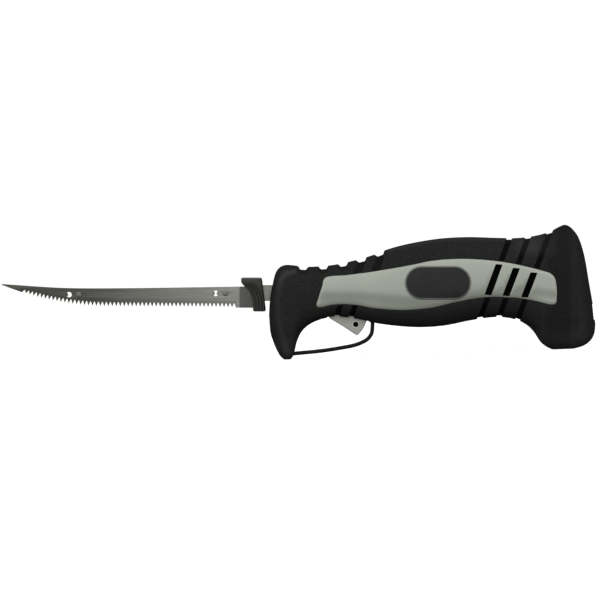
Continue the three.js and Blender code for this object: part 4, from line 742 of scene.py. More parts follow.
deep_black = finish(
    "deep_black_plastic", (0.001, 0.001, 0.001), (0.0018, 0.0018, 0.0018), (0.006, 0.006, 0.006), (0.6, 0.8),
    grain=1200.0, mottle=80.0, depth=0.00002, rub_and_highlight=0.0004, specular=0.02,
)
button = made("cross_button_cap", *turned(BUTTON_PROFILE, *LOCK))
dressed(button, "cross_button", "lock_button", "shell_black", deep_black)


def coil():
    """Points and faces of the return spring: one round wire along an even helix."""
    steps, sides = 160, 10
    low, high = COIL_Z
    up = np.array((0, 0, 1.0))
    angles = [2 * math.pi * j / sides for j in range(sides)]
    rings = []
    for i in range(steps + 1):
        turn = 2 * math.pi * COIL_TURNS * i / steps
        out = np.array((math.cos(turn), math.sin(turn), 0))
        centre = np.array((COIL_X, 0, low + (high - low) * i / steps)) + COIL_R * out
        rings.append([tuple(centre + WIRE_R * (out * math.cos(a) + up * math.sin(a))) for a in angles])
    return lofted(rings)


spring = made("return_coil", *coil())
dressed(spring, "handle", "trigger_spring", "spring_steel", spring_steel)
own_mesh(spring)


# Finger guard
# A springy black strap of nylon, plugged into the front guard and into the handle behind the trigger.
# Its section is a flat oval with softened edges.
STRAP = [
    (-6.6, -48.7), (-1.6, -48.2), (16.8, -46.4), (32.8, -44), (44.8, -41.6),
    (53.2, -38), (57.2, -34), (58.6, -29.4), (58.8, -21.6),
]
STRAP_THICKNESS = 3.2
STRAP_HALF = 4.5
STRAP_SQUARENESS = 4.0


def strap(thickness, half_width, extra=0.0):
    """The strap's rounded section swept along its line, with both ends drawn out by some extra."""
    stops, sides = 90, 24
    line = curve(STRAP, np.linspace(0, 1, stops))
    if extra:
        line = np.concatenate((line[:1] - (extra, 0), line, line[-1:] + (0, extra)))
    run = np.gradient(line, axis=0)
    run /= np.linalg.norm(run, axis=1)[:, None]
    rings = []
    for (x, z), (dx, dz) in zip(line, run):
        ring = []
        for j in range(sides):
            turn = 2 * math.pi * j / sides
            c, s = math.cos(turn), math.sin(turn)
            y = half_width * math.copysign(abs(c) ** (2 / STRAP_SQUARENESS), c)
            h = thickness / 2 * math.copysign(abs(s) ** (2 / STRAP_SQUARENESS), s)
            ring.append((x - dz * h, y, z + dx * h))
        rings.append(ring)
    return lofted(rings)


guard = made("guard_strap", *strap(STRAP_THICKNESS, STRAP_HALF))
strap_nylon = finish(
    "strap_nylon", (0.0035, 0.0035, 0.0035), (0.0055, 0.0055, 0.0055), (0.015, 0.015, 0.015), (0.45, 0.6),
    grain=1200.0, mottle=80.0, depth=0.00002, rub_and_highlight=0.0004, specular=0.12,
)
dressed(guard, "handle", "finger_guard", "shell_black", strap_nylon)


# Power inlet
# A moulded socket set into the butt, with two brass pins for a plug-in lead.
# The collar's edge and the mouth of the socket are rounded.
INLET_Z = -15.0
COLLAR = [
    (10.5, 6.2, 2.4, 214.4), (10.5, 6.2, 2.4, 231.4), (10.3, 6.0, 2.3, 232.0),
    (9.8, 5.5, 2.2, 232.4), (8.4, 5.0, 3.4, 232.4), (7.9, 4.5, 3.8, 232.1),
    (7.6, 4.2, 4.0, 231.5), (7.6, 4.2, 4.0, 219.9), (7.2, 3.8, 3.6, 219.4),
]
CONTACT_AWAY = 3.9
CONTACT = [(1.1, 205), (1.2, 205.3), (1.2, 228.6), (1.0, 229.15), (0.6, 229.4)]


def across_x(loop, x):
    """A y and z loop set at one x."""
    return [(x, y, z) for y, z in loop]


def oblong(half_width, half_height, radius, middle=INLET_Z, count=8):
    """A rounded rectangle in y and z about the socket's middle, or at another height."""
    loop = []
    for cy, cz, start in ((1, 1, 0), (-1, 1, 1), (-1, -1, 2), (1, -1, 3)):
        for i in range(count + 1):
            turn = (start + i / count) * math.pi / 2
            y = cy * (half_width - radius) + radius * math.cos(turn)
            loop.append((y, middle + cz * (half_height - radius) + radius * math.sin(turn)))
    return loop


inlet = made("inlet_collar", *lofted([across_x(oblong(*size), x) for *size, x in COLLAR]))
dressed(inlet, "handle", "power_inlet", "shell_black", black_plastic)
for side, word in SIDES:
    rings = []
    for radius, x in CONTACT:
        rings.append(across_x(circle(side * CONTACT_AWAY, INLET_Z, radius, 20), x))
    contact = made("brass_pin_" + word, *lofted(rings))
    dressed(contact, "handle", "inlet_pin_" + word, "brass", turned_brass)


# Shells
# Two black glass-filled halves under the rubber hold the drive, the motor and the switch.
# They show only at the bottom of the slots and openings.
coat_node(["shell_left", "shell_right"], deep_black)


# Side panels
# A sage grey satin moulding sits in a window in each side of the rubber, curved as the handle is.
# It has a bevelled rim, a soft shoulder along its face, and three slanted slots behind the plaque.
STATIONS = np.array([  # x and z above, x and z below, half width
    (-24, -18, -24, -18, 0), (-23.2, -4.4, -23, -30.8, 13), (-21.2, 6.8, -20.8, -38.4, 17),
    (-18.8, 16, -17.6, -46, 19.6), (-15.6, 20.4, -14, -51.6, 21.2), (-11.2, 22.4, -8.8, -54, 22),
    (-5.6, 22.3, -4.4, -50, 21.8), (0.8, 21.4, -1.6, -38.8, 21), (8, 21, 3.2, -29.6, 19.8),
    (16.8, 21.4, 12, -23.2, 18.8), (28, 22.6, 24.8, -19.6, 18.4), (40.8, 25.2, 40.8, -20.2, 19),
    (56.8, 29.6, 58.4, -23.6, 20.6), (72.8, 35.6, 76.8, -26.2, 22.6), (90.4, 40, 96.8, -27.4, 24.2),
    (112.8, 43.6, 116.8, -26, 25), (135.2, 44.8, 136.8, -22, 24.8), (156.8, 44.2, 155.2, -19.4, 24.2),
    (175.2, 44.1, 168.8, -20.2, 23.8), (189.6, 46, 180, -24.2, 23.8), (200.8, 49.2, 187.2, -30.4, 24.4),
    (207.2, 52.6, 193.6, -39.6, 25), (212.8, 54.6, 201.6, -44.7, 25), (218.4, 51.6, 210.4, -45.7, 24.4),
    (224, 43.6, 220, -44.4, 22.8), (228.4, 29.2, 228, -42, 20), (232, 8.4, 233.6, -37.6, 15.6),
    (235.2, -10, 236.5, -31.6, 9.6), (237.1, -24.4, 237.1, -24.4, 0),
])
SQUARENESS = 2.5
SEARCH_ENDS = (0.03, 0.97)
SEARCH_STEPS = 34
PANEL = [
    (20.6, 11.9), (38.2, 14.3), (54.6, 16.4), (71, 19), (92.8, 23), (103, 25.2), (118.2, 26.9),
    (134.6, 27.2), (151, 26.2), (167.5, 24), (184, 20.5), (195, 17.6), (200.8, 15.6), (204.2, 11.9),
    (205.6, 5.4), (205.9, -3.4), (205.3, -8), (202.6, -9.4), (189.4, -6.7), (178.5, -4.6), (162.1, -3.4),
    (151, -3.4), (140.1, -4.6), (123.7, -7.8), (107.2, -11.7), (90.7, -13.5), (79.8, -13.8), (68.8, -13.1),
    (58.6, -12.1), (46.4, -9.8), (35.8, -9.1), (26, -9.7), (15.8, -11.6), (13.9, -10), (16, -2), (18.4, 5.2),
]
PANEL_PROUD = 0.4
PANEL_SUNK = 2.9
MESH_X = (13, 207)
MESH_Z = (-14.5, 28)
MESH_STEP = 2.0
OFF_RIM = 1.8
OFF_SLOT = 1.0
RIM = 2.4
RIM_DROP = 0.75
PANEL_EDGE = 0.6
EDGE_DROP = 0.5
RIM_STEPS = (0.25, PANEL_EDGE, 1.2, RIM, RIM + 0.8)
SLOTS = [(159.8, 22.9, 150.8, -1.6), (173.6, 19.9, 165.2, -2.3), (187.6, 16.3, 180, -3.5)]
SLOT_WIDTH = 5.2
SLOT_TILT = 0.08
SLOT_CORNER = 0.6
SHOULDER = [(12, 1.6), (38, 1.4), (59, 0.4), (84, -2.8), (111, -3.6), (139, 1), (175, 5.4), (208, 1.8)]
SHOULDER_RISE = 0.7
SHOULDER_DROP = 1.25
SHOULDER_TOP = -1.0
SHOULDER_WIDTH = 8.0
SHOULDER_RETURN = 0.4
SHOULDER_END = 15


def handle_side(x, z):
    """How far out the handle's surface stands at each x and z."""
    x, z = np.asarray(x, float), np.asarray(z, float)
    low_end, high_end = (np.full(len(x), end) for end in SEARCH_ENDS)
    for _ in range(SEARCH_STEPS):
        along = (low_end + high_end) / 2
        top, low = curve(STATIONS[:, 0:2], along), curve(STATIONS[:, 2:4], along)
        rise = top - low
        ahead = rise[:, 0] * (z - low[:, 1]) - rise[:, 1] * (x - low[:, 0]) < 0
        low_end, high_end = np.where(ahead, along, low_end), np.where(ahead, high_end, along)
    share = ((x - low[:, 0]) * rise[:, 0] + (z - low[:, 1]) * rise[:, 1]) / (rise**2).sum(axis=1)
    lift = np.clip(np.abs(2 * share - 1), 0, 1) ** SQUARENESS
    return curve(STATIONS[:, 4:5], along)[:, 0] * (1 - lift) ** (1 / SQUARENESS)


def closed_curve(points, per):
    """A smooth closed loop through points of uneven spacing."""
    p = np.asarray(points, float)
    a, b, c, d = np.roll(p, 1, 0), p, np.roll(p, -1, 0), np.roll(p, -2, 0)
    gap = np.sqrt(np.linalg.norm(c - b, axis=1))[:, None]
    before, after = np.roll(gap, 1, 0), np.roll(gap, -1, 0)
    u = ((b - a) / before - (c - a) / (before + gap) + (c - b) / gap) * gap
    v = ((c - b) / gap - (d - b) / (gap + after) + (d - c) / after) * gap
    w = (np.arange(per) / per)[None, :, None]
    u, v, b, c = u[:, None], v[:, None], b[:, None], c[:, None]
    loop = ((2 * b - 2 * c + u + v) * w + (-3 * b + 3 * c - 2 * u - v)) * w * w + u * w + b
    return loop.reshape(-1, 2)


def inside(x, z, loop):
    """Which points lie inside a closed loop."""
    held = np.zeros(len(x), bool)
    for (ax, az), (bx, bz) in zip(loop, np.roll(loop, -1, 0)):
        if az != bz:
            held ^= ((az > z) != (bz > z)) & (x < (bx - ax) * (z - az) / (bz - az) + ax)
    return held


def gap_to(x, z, loop):
    """Distance of points to a closed loop, less than nought inside."""
    best = np.full(len(x), 1e9)
    for a, b in zip(loop, np.roll(loop, -1, 0)):
        run = b - a
        share = np.clip(((x - a[0]) * run[0] + (z - a[1]) * run[1]) / (run @ run), 0, 1)
        best = np.minimum(best, (x - a[0] - share * run[0]) ** 2 + (z - a[1] - share * run[1]) ** 2)
    return np.where(inside(x, z, loop), -1, 1) * np.sqrt(best)


def smooth(value, start, end):
    """Soft step from 0 to 1 between two values."""
    t = np.clip((value - start) / (end - start), 0, 1)
    return t * t * (3 - 2 * t)


def crown(x, z):
    """How far the panel's face swells beyond the handle's curve: a shoulder runs along it, lower below."""
    line = curve(SHOULDER, np.linspace(0, 1, 200))
    below = np.interp(x, line[:, 0], line[:, 1]) - z
    fall = SHOULDER_DROP * smooth(below, SHOULDER_TOP, SHOULDER_WIDTH)
    return SHOULDER_RISE - fall + SHOULDER_RETURN * smooth(below, SHOULDER_WIDTH, SHOULDER_END)


def slot_loop(slot):
    """Four corners of a slanted slot with nearly level ends, clockwise, a little rounded."""
    top, low = np.array(slot[:2]), np.array(slot[2:])
    run = (top - low) / np.linalg.norm(top - low)
    aside = np.array((1, -SLOT_TILT)) * SLOT_WIDTH / 2 / run[1]
    return np.array(rounded_corners([top - aside, top + aside, low + aside, low - aside], SLOT_CORNER, 3))


panel_loop = closed_curve(PANEL, 8)
slot_loops = [slot_loop(slot) for slot in SLOTS]


def panel():
    """Points and faces of a side panel as a fine sheet with bevelled rim, slots and walls."""
    fences = [panel_loop] + [inset(panel_loop, step) for step in RIM_STEPS] + slot_loops
    points, edges = [], []
    for loop in fences:
        start = len(points)
        points += [tuple(p) for p in loop]
        edges += [(start + k, start + (k + 1) % len(loop)) for k in range(len(loop))]
    columns, rows = np.arange(*MESH_X, MESH_STEP), np.arange(*MESH_Z, MESH_STEP)
    grid = np.array([(x, z) for x in columns for z in rows])
    room = gap_to(grid[:, 0], grid[:, 1], panel_loop) < -RIM - OFF_RIM
    for loop in slot_loops:
        room &= gap_to(grid[:, 0], grid[:, 1], loop) > OFF_SLOT
    points += [tuple(p) for p in grid[room]]
    flat, _, triangles, *_ = delaunay_2d_cdt([Vector(p) for p in points], edges, [], 0, 1e-4)
    flat = np.array([tuple(p) for p in flat])
    middle = np.array([flat[list(t)].mean(axis=0) for t in triangles])
    solid = gap_to(middle[:, 0], middle[:, 1], panel_loop) < 0
    for loop in slot_loops:
        solid &= ~inside(middle[:, 0], middle[:, 1], loop)
    triangles = [tuple(t) for t, held in zip(triangles, solid) if held]
    x, z = flat[:, 0], flat[:, 1]
    depth = -gap_to(x, z, panel_loop)
    edge = 1 - np.clip(depth / PANEL_EDGE, 0, 1)
    bevel = RIM_DROP * (1 - np.clip(depth / RIM, 0, 1)) + EDGE_DROP * (1 - np.sqrt(1 - edge**2))
    face = handle_side(x, z) + PANEL_PROUD + crown(x, z) - bevel
    ground = handle_side(x, z) - PANEL_SUNK
    used = sorted({i for t in triangles for i in t})
    order = {old: new for new, old in enumerate(used)}
    faces = [tuple(order[i] for i in t) for t in triangles]
    count = len(used)
    sheet = [(x[i], face[i], z[i]) for i in used] + [(x[i], ground[i], z[i]) for i in used]
    sides = dict.fromkeys((a, b) for t in faces for a, b in zip(t, t[1:] + t[:1]))
    walls = [(b, a, a + count, b + count) for a, b in sides if (b, a) not in sides]
    return sheet, faces + [tuple(i + count for i in reversed(t)) for t in faces] + walls


sage_satin = finish(
    "sage_satin", (0.238, 0.257, 0.214), (0.262, 0.282, 0.236), (0.33, 0.35, 0.3), (0.3, 0.42),
    grain=1300.0, mottle=30.0, depth=0.000012, rub_and_highlight=0.0007, specular=0.8, coat=0.3,
)
panel_points, panel_faces = panel()
for side, word in SIDES:
    cover = made("crowned_panel_" + word, on_side(panel_points, side), panel_faces)
    dressed(cover, "handle", "side_panel_" + word, "sage_grey", sage_satin, crease=50)


# Plaques
# A plain dark oblong plate with a raised, lighter rim is stuck on each panel.
# Its field is left bare.
PLAQUE = (111, 8.1)
PLAQUE_HALF = (26.5, 13.5)
PLAQUE_RIM = 1.3
PLAQUE_RINGS = [
    (0, -1.3), (0, 0.05), (0.12, 0.26), (0.4, 0.4), (1.2, 0.4), (1.45, 0.3), (1.6, 0.12), (2.0, 0.1),
    (4.5, 0.12), (7.5, 0.14), (10.5, 0.15), (PLAQUE_HALF[1], 0.15),
]


def stadium(shrink, count=24, stops=12):
    """An oblong with round ends about the plaque's middle, made smaller by some distance."""
    radius = PLAQUE_HALF[1] - shrink
    reach = PLAQUE_HALF[0] - PLAQUE_HALF[1]
    x, z = PLAQUE
    loop = []
    for way in (1, -1):
        end = circle(reach, 0, radius, count, math.pi / 2, -math.pi)
        loop += [(x + way * px, z + way * pz) for px, pz in end]
        loop += [(x + way * reach * (1 - 2 * t / stops), z - way * radius) for t in range(1, stops)]
    return np.array(loop)


def plaque():
    """Points and faces of a plaque that follows the panel's crown."""
    rings = []
    for shrink, rise in PLAQUE_RINGS:
        loop = stadium(shrink)
        ys = handle_side(loop[:, 0], loop[:, 1]) + PANEL_PROUD + crown(loop[:, 0], loop[:, 1]) + rise
        rings.append([(x, y, z) for (x, z), y in zip(loop, ys)])
    return lofted(rings, far_end=False)


plaque_field = finish(
    "dark_plaque", (0.0125, 0.0135, 0.0125), (0.0165, 0.0175, 0.0162), (0.06, 0.063, 0.058), (0.4, 0.55),
    grain=1200.0, mottle=120.0, depth=0.00001, rub_and_highlight=0.0005, specular=0.15,
)
plaque_rim = finish(
    "plaque_rim", (0.085, 0.09, 0.082), (0.11, 0.115, 0.105), (0.2, 0.21, 0.19), (0.34, 0.48),
    grain=1200.0, mottle=120.0, depth=0.000008, rub_and_highlight=0.0004, specular=0.4,
)
plaque_points, plaque_faces = plaque()
rim_loop = to_row([(x, 0, z) for x, z in stadium(PLAQUE_RIM)])[:, [0, 2]]
for side, word in SIDES:
    plate = made("bare_plaque_" + word, on_side(plaque_points, side), plaque_faces)
    dressed(plate, "handle", "plaque_" + word, "plaque_dark", plaque_field, plaque_rim)
    centres = np.array([face.center[:] for face in plate.data.polygons])
    on_rim = gap_to(centres[:, 0], centres[:, 2], rim_loop) > 0
    plate.data.polygons.foreach_set("material_index", on_rim.astype(np.int32))


# Grips
# Soft black rubber is moulded over each shell in a 3 mm skin, with thumb notches, grooves and a panel window.
# Its fine matte grain has painted highlight on the rims, crest and lands, painted shade in grooves, notches
# and butt, and painted light on the feet.
RUBBER = 3.0
INNER_SPARE = 0.4
INNER_ENDS = (0.072, 0.95)
PARTING = 0.03
GRIP_ROWS = 392
GRIP_COLUMNS = 118
LEAST_STEP = 0.002
FINE_SPELLS = [(-4, 2, 66, 74), (138, 146, 200, 208)]
FINE_MORE = 1.1
NOSE_MORE = 1.6
NOSE_SHARE = 0.14
BUTT_MORE = 1.2
BUTT_SHARE = 0.84
GROOVES = [(171, 52, 143, -26), (186.2, 54, 157.8, -26), (203.4, 58, 172.6, -28)]
GROOVE_DEPTH = 1.3
GROOVE_FLOOR = 1.7
GROOVE_MOUTH = 2.45
NOTCHES = [(3.4, 13.5, 0), (19.5, 13.8, 0), (35.2, 16, 0), (49.9, 14, 4.2), (64.2, 15, 4.2)]
NOTCH_FLAT = 1.8
NOTCH_MOUTH = 4.3
NOTCH_DEPTH = 2.6
NOTCH_FOOT = (1.5, 5)
SLANT_RUN = 14
SLANT_FOOT = (-0.4, 2.2)
SLANT_SHADE = 0.32
CHINS = [31.6, 43.3]
CHIN_LEAN = 0.33
CHIN_Z = -15
CHIN_FLOOR = 1.8
CHIN_MOUTH = 2.5
CHIN_TOP = (-11.2, -9.8)
PANEL_GAP = 0.2
LIP_REACH = 1.2
LIP_DEPTH = 0.35
PLAIN_SHADE = 0.2
# Painted highlight: paler bands along the rims of nose and butt, along the crest and on the lands between the
# rear grooves.
NOSE_RIDGE = [(-4, 17.2), (-12.4, 14), (-16.4, 2), (-17.2, -10), (-16.4, -22), (-12.4, -38), (-9.2, -48)]
NOSE_HIGHLIGHT = [(-48, 0.9), (-38, 0.4), (-22, 0.25), (2, 0.3), (14, 0.7)]
BUTT_RIDGE = [(219, 26), (222.5, 6), (225.5, -10), (226, -26), (222, -36)]
BUTT_HIGHLIGHT = [(-30, 0.2), (20, 0.03)]
CREST = STATIONS[13:21, 0:2] - (0, 0.8)
CREST_HIGHLIGHT = [(30, 0.4), (50, 0.4)]
RIDGE_LINE = 0.3
RIDGE_REACH = 3.7
LAND_SPELL = (168, 180, 202, 208)
LAND_TOP = (26, 36)
LAND_HIGHLIGHT = 0.5
BUTT_SPELL = (186, 203, 214, 224)
BUTT_SHADE = 0.62
FLOOR_LIGHT_FULL = 0.006
FLOOR_LIGHT_END = 0.02
MOUTH = (4.75, 8.4, 1.6, 0.0)
MOUTH_X = (-60, 42)
TRIGGER_ROOM = ((22.2, 56), (-6.1, 6.1), (-70, -9.1))
INLET_ROOM = (10.8, 6.5, 2.6)
INLET_ROOM_X = (208, 260)
STRAP_PLAY = 0.3
STRAP_SPARE = 0.8
WINDOW_Y = (3, 60)
SCREWS = [(-8, 15.5, 7), (-9, -40, 9), (122, 34, 11), (188, 36, 10), (206, -31, 11)]
SCREW_ROOM = 3.8


def handle_point(along, up, out):
    """Points on the handle: share along, share up from -1 to 1, share out from 0 to 1."""
    top, low = curve(STATIONS[:, 0:2], along), curve(STATIONS[:, 2:4], along)
    width = curve(STATIONS[:, 4:5], along)[:, 0]
    middle = low + (top - low) * (0.5 + 0.5 * up)[:, None]
    return np.column_stack((middle[:, 0], width * out, middle[:, 1]))


def spell(value, start, full, wane, end):
    """Soft stretch from 0 up to 1 and down to 0 again."""
    return smooth(value, start, full) * (1 - smooth(value, wane, end))


def recess(x, z):
    """How deep the rubber is cut at each x and z, and how much painted shade it gets: grooves, notches, lip.
    """
    deep, plain, shaded = np.zeros(len(x)), np.zeros(len(x)), np.zeros(len(x))
    for ax, az, bx, bz in GROOVES:
        run = np.array((bx - ax, bz - az)) / math.hypot(bx - ax, bz - az)
        aside = np.abs((x - ax) * run[1] - (z - az) * run[0])
        deep = np.maximum(deep, GROOVE_DEPTH * (1 - smooth(aside, GROOVE_FLOOR, GROOVE_MOUTH)))
    for nx, floor, lean in NOTCHES:
        middle = nx - lean * np.clip((floor + SLANT_RUN - z) / SLANT_RUN, 0, 1)
        across = 1 - smooth(np.abs(x - middle), NOTCH_FLAT, NOTCH_MOUTH)
        foot = SLANT_FOOT if lean else NOTCH_FOOT
        notch = NOTCH_DEPTH * across * smooth(z, floor + foot[0], floor + foot[1])
        plain = np.maximum(plain, notch)
        if lean:
            shaded = np.maximum(shaded, SLANT_SHADE * notch)
    for cx in CHINS:
        across = 1 - smooth(np.abs(x - cx + CHIN_LEAN * (CHIN_Z - z)), CHIN_FLOOR, CHIN_MOUTH)
        deep = np.maximum(deep, GROOVE_DEPTH * across * (1 - smooth(z, *CHIN_TOP)))
    low, high = panel_loop.min(axis=0) - LIP_REACH, panel_loop.max(axis=0) + LIP_REACH
    near = (x > low[0]) & (x < high[0]) & (z > low[1]) & (z < high[1])
    lip = 1 - smooth(gap_to(x[near], z[near], panel_loop), PANEL_GAP, LIP_REACH)
    plain[near] = np.maximum(plain[near], LIP_DEPTH * lip)
    return np.maximum(deep, plain), np.maximum(np.maximum(deep, shaded), PLAIN_SHADE * plain)


def painted_highlight(x, z):
    """How much painted highlight the rubber gets at each x and z: on the rims, the crest and the lands
    between grooves.
    """
    paler = LAND_HIGHLIGHT * spell(x, *LAND_SPELL) * smooth(z, *LAND_TOP)
    for ridge, rub_and_highlight in ((NOSE_RIDGE, NOSE_HIGHLIGHT), (BUTT_RIDGE, BUTT_HIGHLIGHT), (CREST, CREST_HIGHLIGHT)):
        line = curve(ridge, np.linspace(0, 1, 40))
        gap = gap_to(x, z, np.vstack((line, line[-2:0:-1])))
        share = np.interp(z, *zip(*rub_and_highlight)) * (1 - smooth(gap, RIDGE_LINE, RIDGE_REACH))
        paler = np.maximum(paler, share)
    return paler


def grip_stops():
    """Shares along the handle for the rows of the rubber's mesh, closer where it is notched or bends."""
    fine = np.linspace(0, 1, 4000)
    station_x = (curve(STATIONS[:, 0:1], fine)[:, 0] + curve(STATIONS[:, 2:3], fine)[:, 0]) / 2
    crowd = 1 + NOSE_MORE * (1 - smooth(fine, 0.0, NOSE_SHARE)) + BUTT_MORE * smooth(fine, BUTT_SHARE, 1.0)
    for stretch in FINE_SPELLS:
        crowd += FINE_MORE * spell(station_x, *stretch)
    reach = np.cumsum(crowd * np.abs(np.gradient(station_x)) + LEAST_STEP)
    return np.interp(np.linspace(reach[0], reach[-1], GRIP_ROWS), reach, fine)


def grip():
    """Points and faces of one half of the rubber, and how much painted shade, below nought painted highlight,
    each point gets.
    """
    along = grip_stops()
    turn = np.linspace(math.pi / 2, -math.pi / 2, GRIP_COLUMNS)
    power = 2 / SQUARENESS
    up = np.sign(np.sin(turn)) * np.abs(np.sin(turn)) ** power
    out = np.abs(np.cos(turn)) ** power
    rows, columns = GRIP_ROWS, GRIP_COLUMNS
    a, u, o = np.repeat(along, columns), np.tile(up, rows), np.tile(out, rows)
    skin = handle_point(a, u, o).reshape(rows, columns, 3)
    across = np.gradient(skin, axis=1)
    across[:, 0], across[:, -1] = (0, 1, 0), (0, -1, 0)
    lengthwise = np.gradient(skin, axis=0)
    outward = np.cross(across, lengthwise)
    size = np.linalg.norm(outward, axis=2, keepdims=True)
    outward = np.where(size > 1e-9, outward / np.maximum(size, 1e-9), (-1.0, 0, 0))
    outward *= np.sign(outward[rows // 2, columns // 2, 1])
    x, _, z = skin.reshape(-1, 3).T
    deep, shade = recess(x, z)
    # Painted shade on the flat of the butt, less the painted highlight on rims, crest and lands.
    shade = np.maximum(shade, BUTT_SHADE * spell(x, *BUTT_SPELL)) - painted_highlight(x, z)
    front, rear = INNER_ENDS
    inner_along = np.clip(along, front, rear)
    top, low = curve(STATIONS[:, 0:2], inner_along), curve(STATIONS[:, 2:4], inner_along)
    rise = np.linalg.norm(top - low, axis=1)
    width = curve(STATIONS[:, 4:5], inner_along)[:, 0]
    ease = np.minimum(np.clip(along / front, 0, 1), np.clip((1 - along) / (1 - rear), 0, 1))
    height = (1 - 2 * (RUBBER + INNER_SPARE) / rise) * ease
    thin = (1 - (RUBBER + INNER_SPARE) / width) * ease
    back = handle_point(
        np.repeat(inner_along, columns), (height[:, None] * up).ravel(), (thin[:, None] * out).ravel()
    ).reshape(rows, columns, 3)
    skin = skin - outward * deep.reshape(rows, columns, 1)
    skin[:, :, 1] = np.maximum(skin[:, :, 1], PARTING)
    skin[:, 0, 1] = skin[:, -1, 1] = PARTING
    back[:, :, 1] = np.maximum(back[:, :, 1], 0.0)
    points, faces = closed_sheet(skin, back)
    return points, faces, np.concatenate((shade, np.zeros(rows * columns)))


def above_floor(piece):
    """Flattens whatever of a piece would reach below the floor, for its two feet."""
    for vertex in piece.data.vertices:
        vertex.co.z = max(vertex.co.z, 0.0)


def paint_floor_light(material, colour):
    """Paints patchy light on a material just above the floor, standing in for light thrown up from it."""
    tree = material.node_tree
    shader = tree.nodes["Principled BSDF"]
    place = tree.nodes.new("ShaderNodeTexCoord")
    split = tree.nodes.new("ShaderNodeSeparateXYZ")
    tree.links.new(place.outputs["Object"], split.inputs[0])
    low = ranged(tree, split.outputs["Z"], 1.0, 0.0, FLOOR_LIGHT_FULL, FLOOR_LIGHT_END)
    patchy = noise(tree, place.outputs["Object"], 160.0, 4.0)
    floor_lit = combined(tree, "MULTIPLY", low, ranged(tree, patchy.outputs["Fac"], 0.4, 1.0, 0.3, 0.7))
    ground = shader.inputs["Base Color"].links[0].from_socket
    tree.links.new(blended(tree, floor_lit, ground, colour), shader.inputs["Base Color"])


matte_rubber = finish(
    "matte_rubber", (0.0112, 0.0112, 0.0111), (0.023, 0.023, 0.0227), (0.026, 0.026, 0.026), (0.52, 0.7),
    grain=1500.0, mottle=800.0, depth=0.00016, rub_and_highlight=0.0012, specular=0.0,
)
# Painted light: the rubber is paler in patches just above the floor.
paint_floor_light(matte_rubber, (0.036, 0.036, 0.0355))
# Painted shade: the rubber turns darker in the grooves, the notches and on the flat of the butt.
paint_light_by_depth(matte_rubber, (0.004, 0.004, 0.004), 0.3, 1.2)
# Painted highlight: the rubber turns paler where the attribute falls below nought.
paint_light_by_depth(matte_rubber, (0.04, 0.04, 0.0395), 0.0, -1.0)
grip_points, grip_faces, grip_shade = grip()
mouth = lofted([across_x(oblong(*MOUTH), x) for x in MOUTH_X])
inlet_room = lofted([across_x(oblong(*INLET_ROOM), x) for x in INLET_ROOM_X])
strap_room = strap(STRAP_THICKNESS + 2 * STRAP_PLAY, STRAP_HALF + STRAP_PLAY, STRAP_SPARE)
window_loop = inset(panel_loop, -PANEL_GAP)
for side, word in SIDES:
    skin = made("rubber_grip_" + word, on_side(grip_points, side), grip_faces, grip_shade)
    above_floor(skin)
    window = lofted([[(x, side * y, z) for x, z in window_loop] for y in WINDOW_Y])
    rooms = [mouth, block(*TRIGGER_ROOM), inlet_room, strap_room, window]
    if side > 0:
        rooms += [rod(x, z, SCREW_ROOM, seat, WINDOW_Y[1]) for x, z, seat in SCREWS]
    carve(skin, *rooms)
    dressed(skin, "handle", "grip_" + word, "rubber_black", matte_rubber, crease=48)


# Housing screws
# Five pan-head steel screws go in from the right through holes in the rubber and draw the halves together.
# Each head has a stamped cross.
SHANK = [(0.3, -9), (1.5, -7.8)]
HEAD = [(1.5, 0), (2.7, 0), (3, 0.25), (3, 0.9), (2.75, 1.4), (2.1, 1.8), (1.2, 2), (0.3, 2)]
CROSS = [(1.6, 0.35), (0.35, 1.6)]
CROSS_Y = (0.8, 4)
for number, (x, z, seat) in enumerate(SCREWS, 1):
    profile = SHANK + [(radius, seat + y) for radius, y in HEAD]
    screw = made("pan_screw_%d" % number, *turned(profile, x, z))
    ys = [seat + y for y in CROSS_Y]
    carve(screw, *[block((x - wide, x + wide), ys, (z - high, z + high)) for wide, high in CROSS])
    dressed(screw, "handle", "housing_screw_%d" % number, "spring_steel", spring_steel)


# Studio
# A wide white floor, even light, one broad soft lamp above and in front, and a weaker one behind each end.
# The camera looks square at the left side through a long lens, turned so that the blade lies level.
FLOOR_HALF = 30
FLOOR_GLOW = 0.4
AIR_WHITE = 1.05
AIR_FROM = (0.0, -0.8, 0.6)
LAMPS = [
    ("front_lamp", 1.5, 45, (0.05, 1, -0.72)),
    ("blade_end_lamp", 1.3, 16, (0.8, -1, -0.3)),
    ("butt_end_lamp", 1.3, 16, (-0.8, -1, -0.3)),
]
LENS = 800
SENSOR = 36
SPAN = 0.480
AIM = (0.8, 0, -5.6)
floor_mesh = bpy.data.meshes.new("studio_floor")
corners = [(FLOOR_HALF * x, FLOOR_HALF * y, 0) for x, y in ((-1, -1), (1, -1), (1, 1), (-1, 1))]
floor_mesh.from_pydata(corners, [], [(0, 1, 2, 3)])
floor = bpy.data.objects.new("studio_floor", floor_mesh)
bpy.context.collection.objects.link(floor)
white = (0.72, 0.72, 0.72)
paper = finish("white_paper", (0.7, 0.7, 0.7), white, white, (0.9, 1.0), mottle=2.0)
glow = paper.node_tree.nodes["Principled BSDF"]
glow.inputs["Emission Color"].default_value = (1, 1, 1, 1)
glow.inputs["Emission Strength"].default_value = FLOOR_GLOW
floor_mesh.materials.append(paper)
floor.visible_diffuse = False
floor.visible_glossy = False


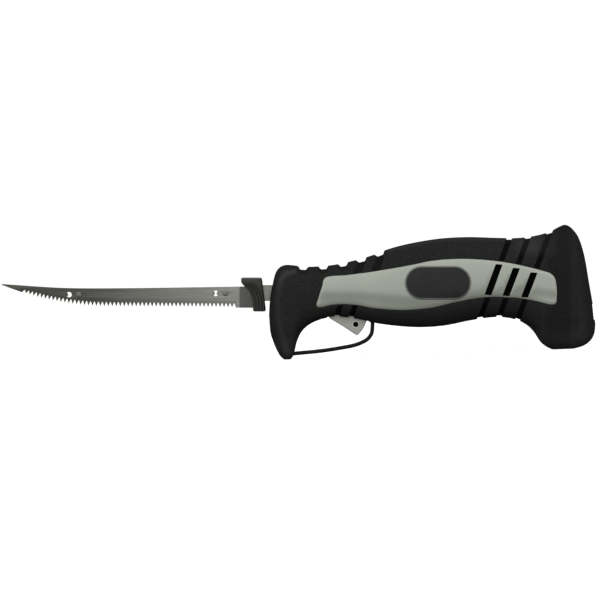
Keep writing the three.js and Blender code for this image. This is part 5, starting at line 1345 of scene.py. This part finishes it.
def either(tree, factor, low, high):
    """A number between two, by a factor socket."""
    mix = tree.nodes.new("ShaderNodeMix")
    tree.links.new(factor, mix.inputs["Factor"])
    tree.links.new(low, mix.inputs["A"])
    if isinstance(high, float):
        mix.inputs["B"].default_value = high
    else:
        tree.links.new(high, mix.inputs["B"])
    return mix.outputs["Result"]


world = bpy.data.worlds.new("studio_light")
bpy.context.scene.world = world
world.use_nodes = True
air = world.node_tree
sky = air.nodes["Background"]
sky.inputs["Color"].default_value = (1, 1, 1, 1)
direction = air.nodes.new("ShaderNodeTexCoord")
towards = air.nodes.new("ShaderNodeVectorMath")
towards.operation = "DOT_PRODUCT"
towards.inputs[1].default_value = AIR_FROM
air.links.new(direction.outputs["Generated"], towards.inputs[0])
cast = ranged(air, towards.outputs["Value"], 0.14, 0.9, -0.3, 1.0)
split = air.nodes.new("ShaderNodeSeparateXYZ")
air.links.new(direction.outputs["Generated"], split.inputs[0])
# Gloss sees the air brighter overhead and at both sides.
overhead = ranged(air, split.outputs["Z"], 0.06, 1.6, -0.38, 0.06)
sideways = ranged(air, combined(air, "ABSOLUTE", split.outputs["X"]), 0.0, 0.9, 0.35, 0.65)
ray = air.nodes.new("ShaderNodeLightPath")
mirrored = combined(air, "MAXIMUM", overhead, sideways)
thrown = either(air, ray.outputs["Is Glossy Ray"], cast, mirrored)
air.links.new(either(air, ray.outputs["Is Camera Ray"], thrown, AIR_WHITE), sky.inputs["Strength"])

for name, energy, spread, way in LAMPS:
    lamp = bpy.data.lights.new(name, "SUN")
    lamp.energy = energy
    lamp.angle = math.radians(spread)
    lamp_stand = bpy.data.objects.new(name, lamp)
    lamp_stand.rotation_euler = Vector(way).to_track_quat("-Z", "Y").to_euler()
    lamp_stand.visible_glossy = False
    bpy.context.collection.objects.link(lamp_stand)

camera = bpy.data.cameras.new("square_camera")
camera.lens = LENS
camera.sensor_width = SENSOR
tripod = bpy.data.objects.new("square_camera", camera)
bpy.context.collection.objects.link(tripod)
target = Vector(to_row([AIM])[0].tolist())
tripod.location = target + Vector((0, -SPAN * LENS / SENSOR, 0))
tripod.rotation_mode = "XYZ"
tripod.rotation_euler = (math.pi / 2, math.radians(LEAN), 0)
bpy.context.scene.camera = tripod
bpy.context.scene.view_settings.view_transform = "Standard"
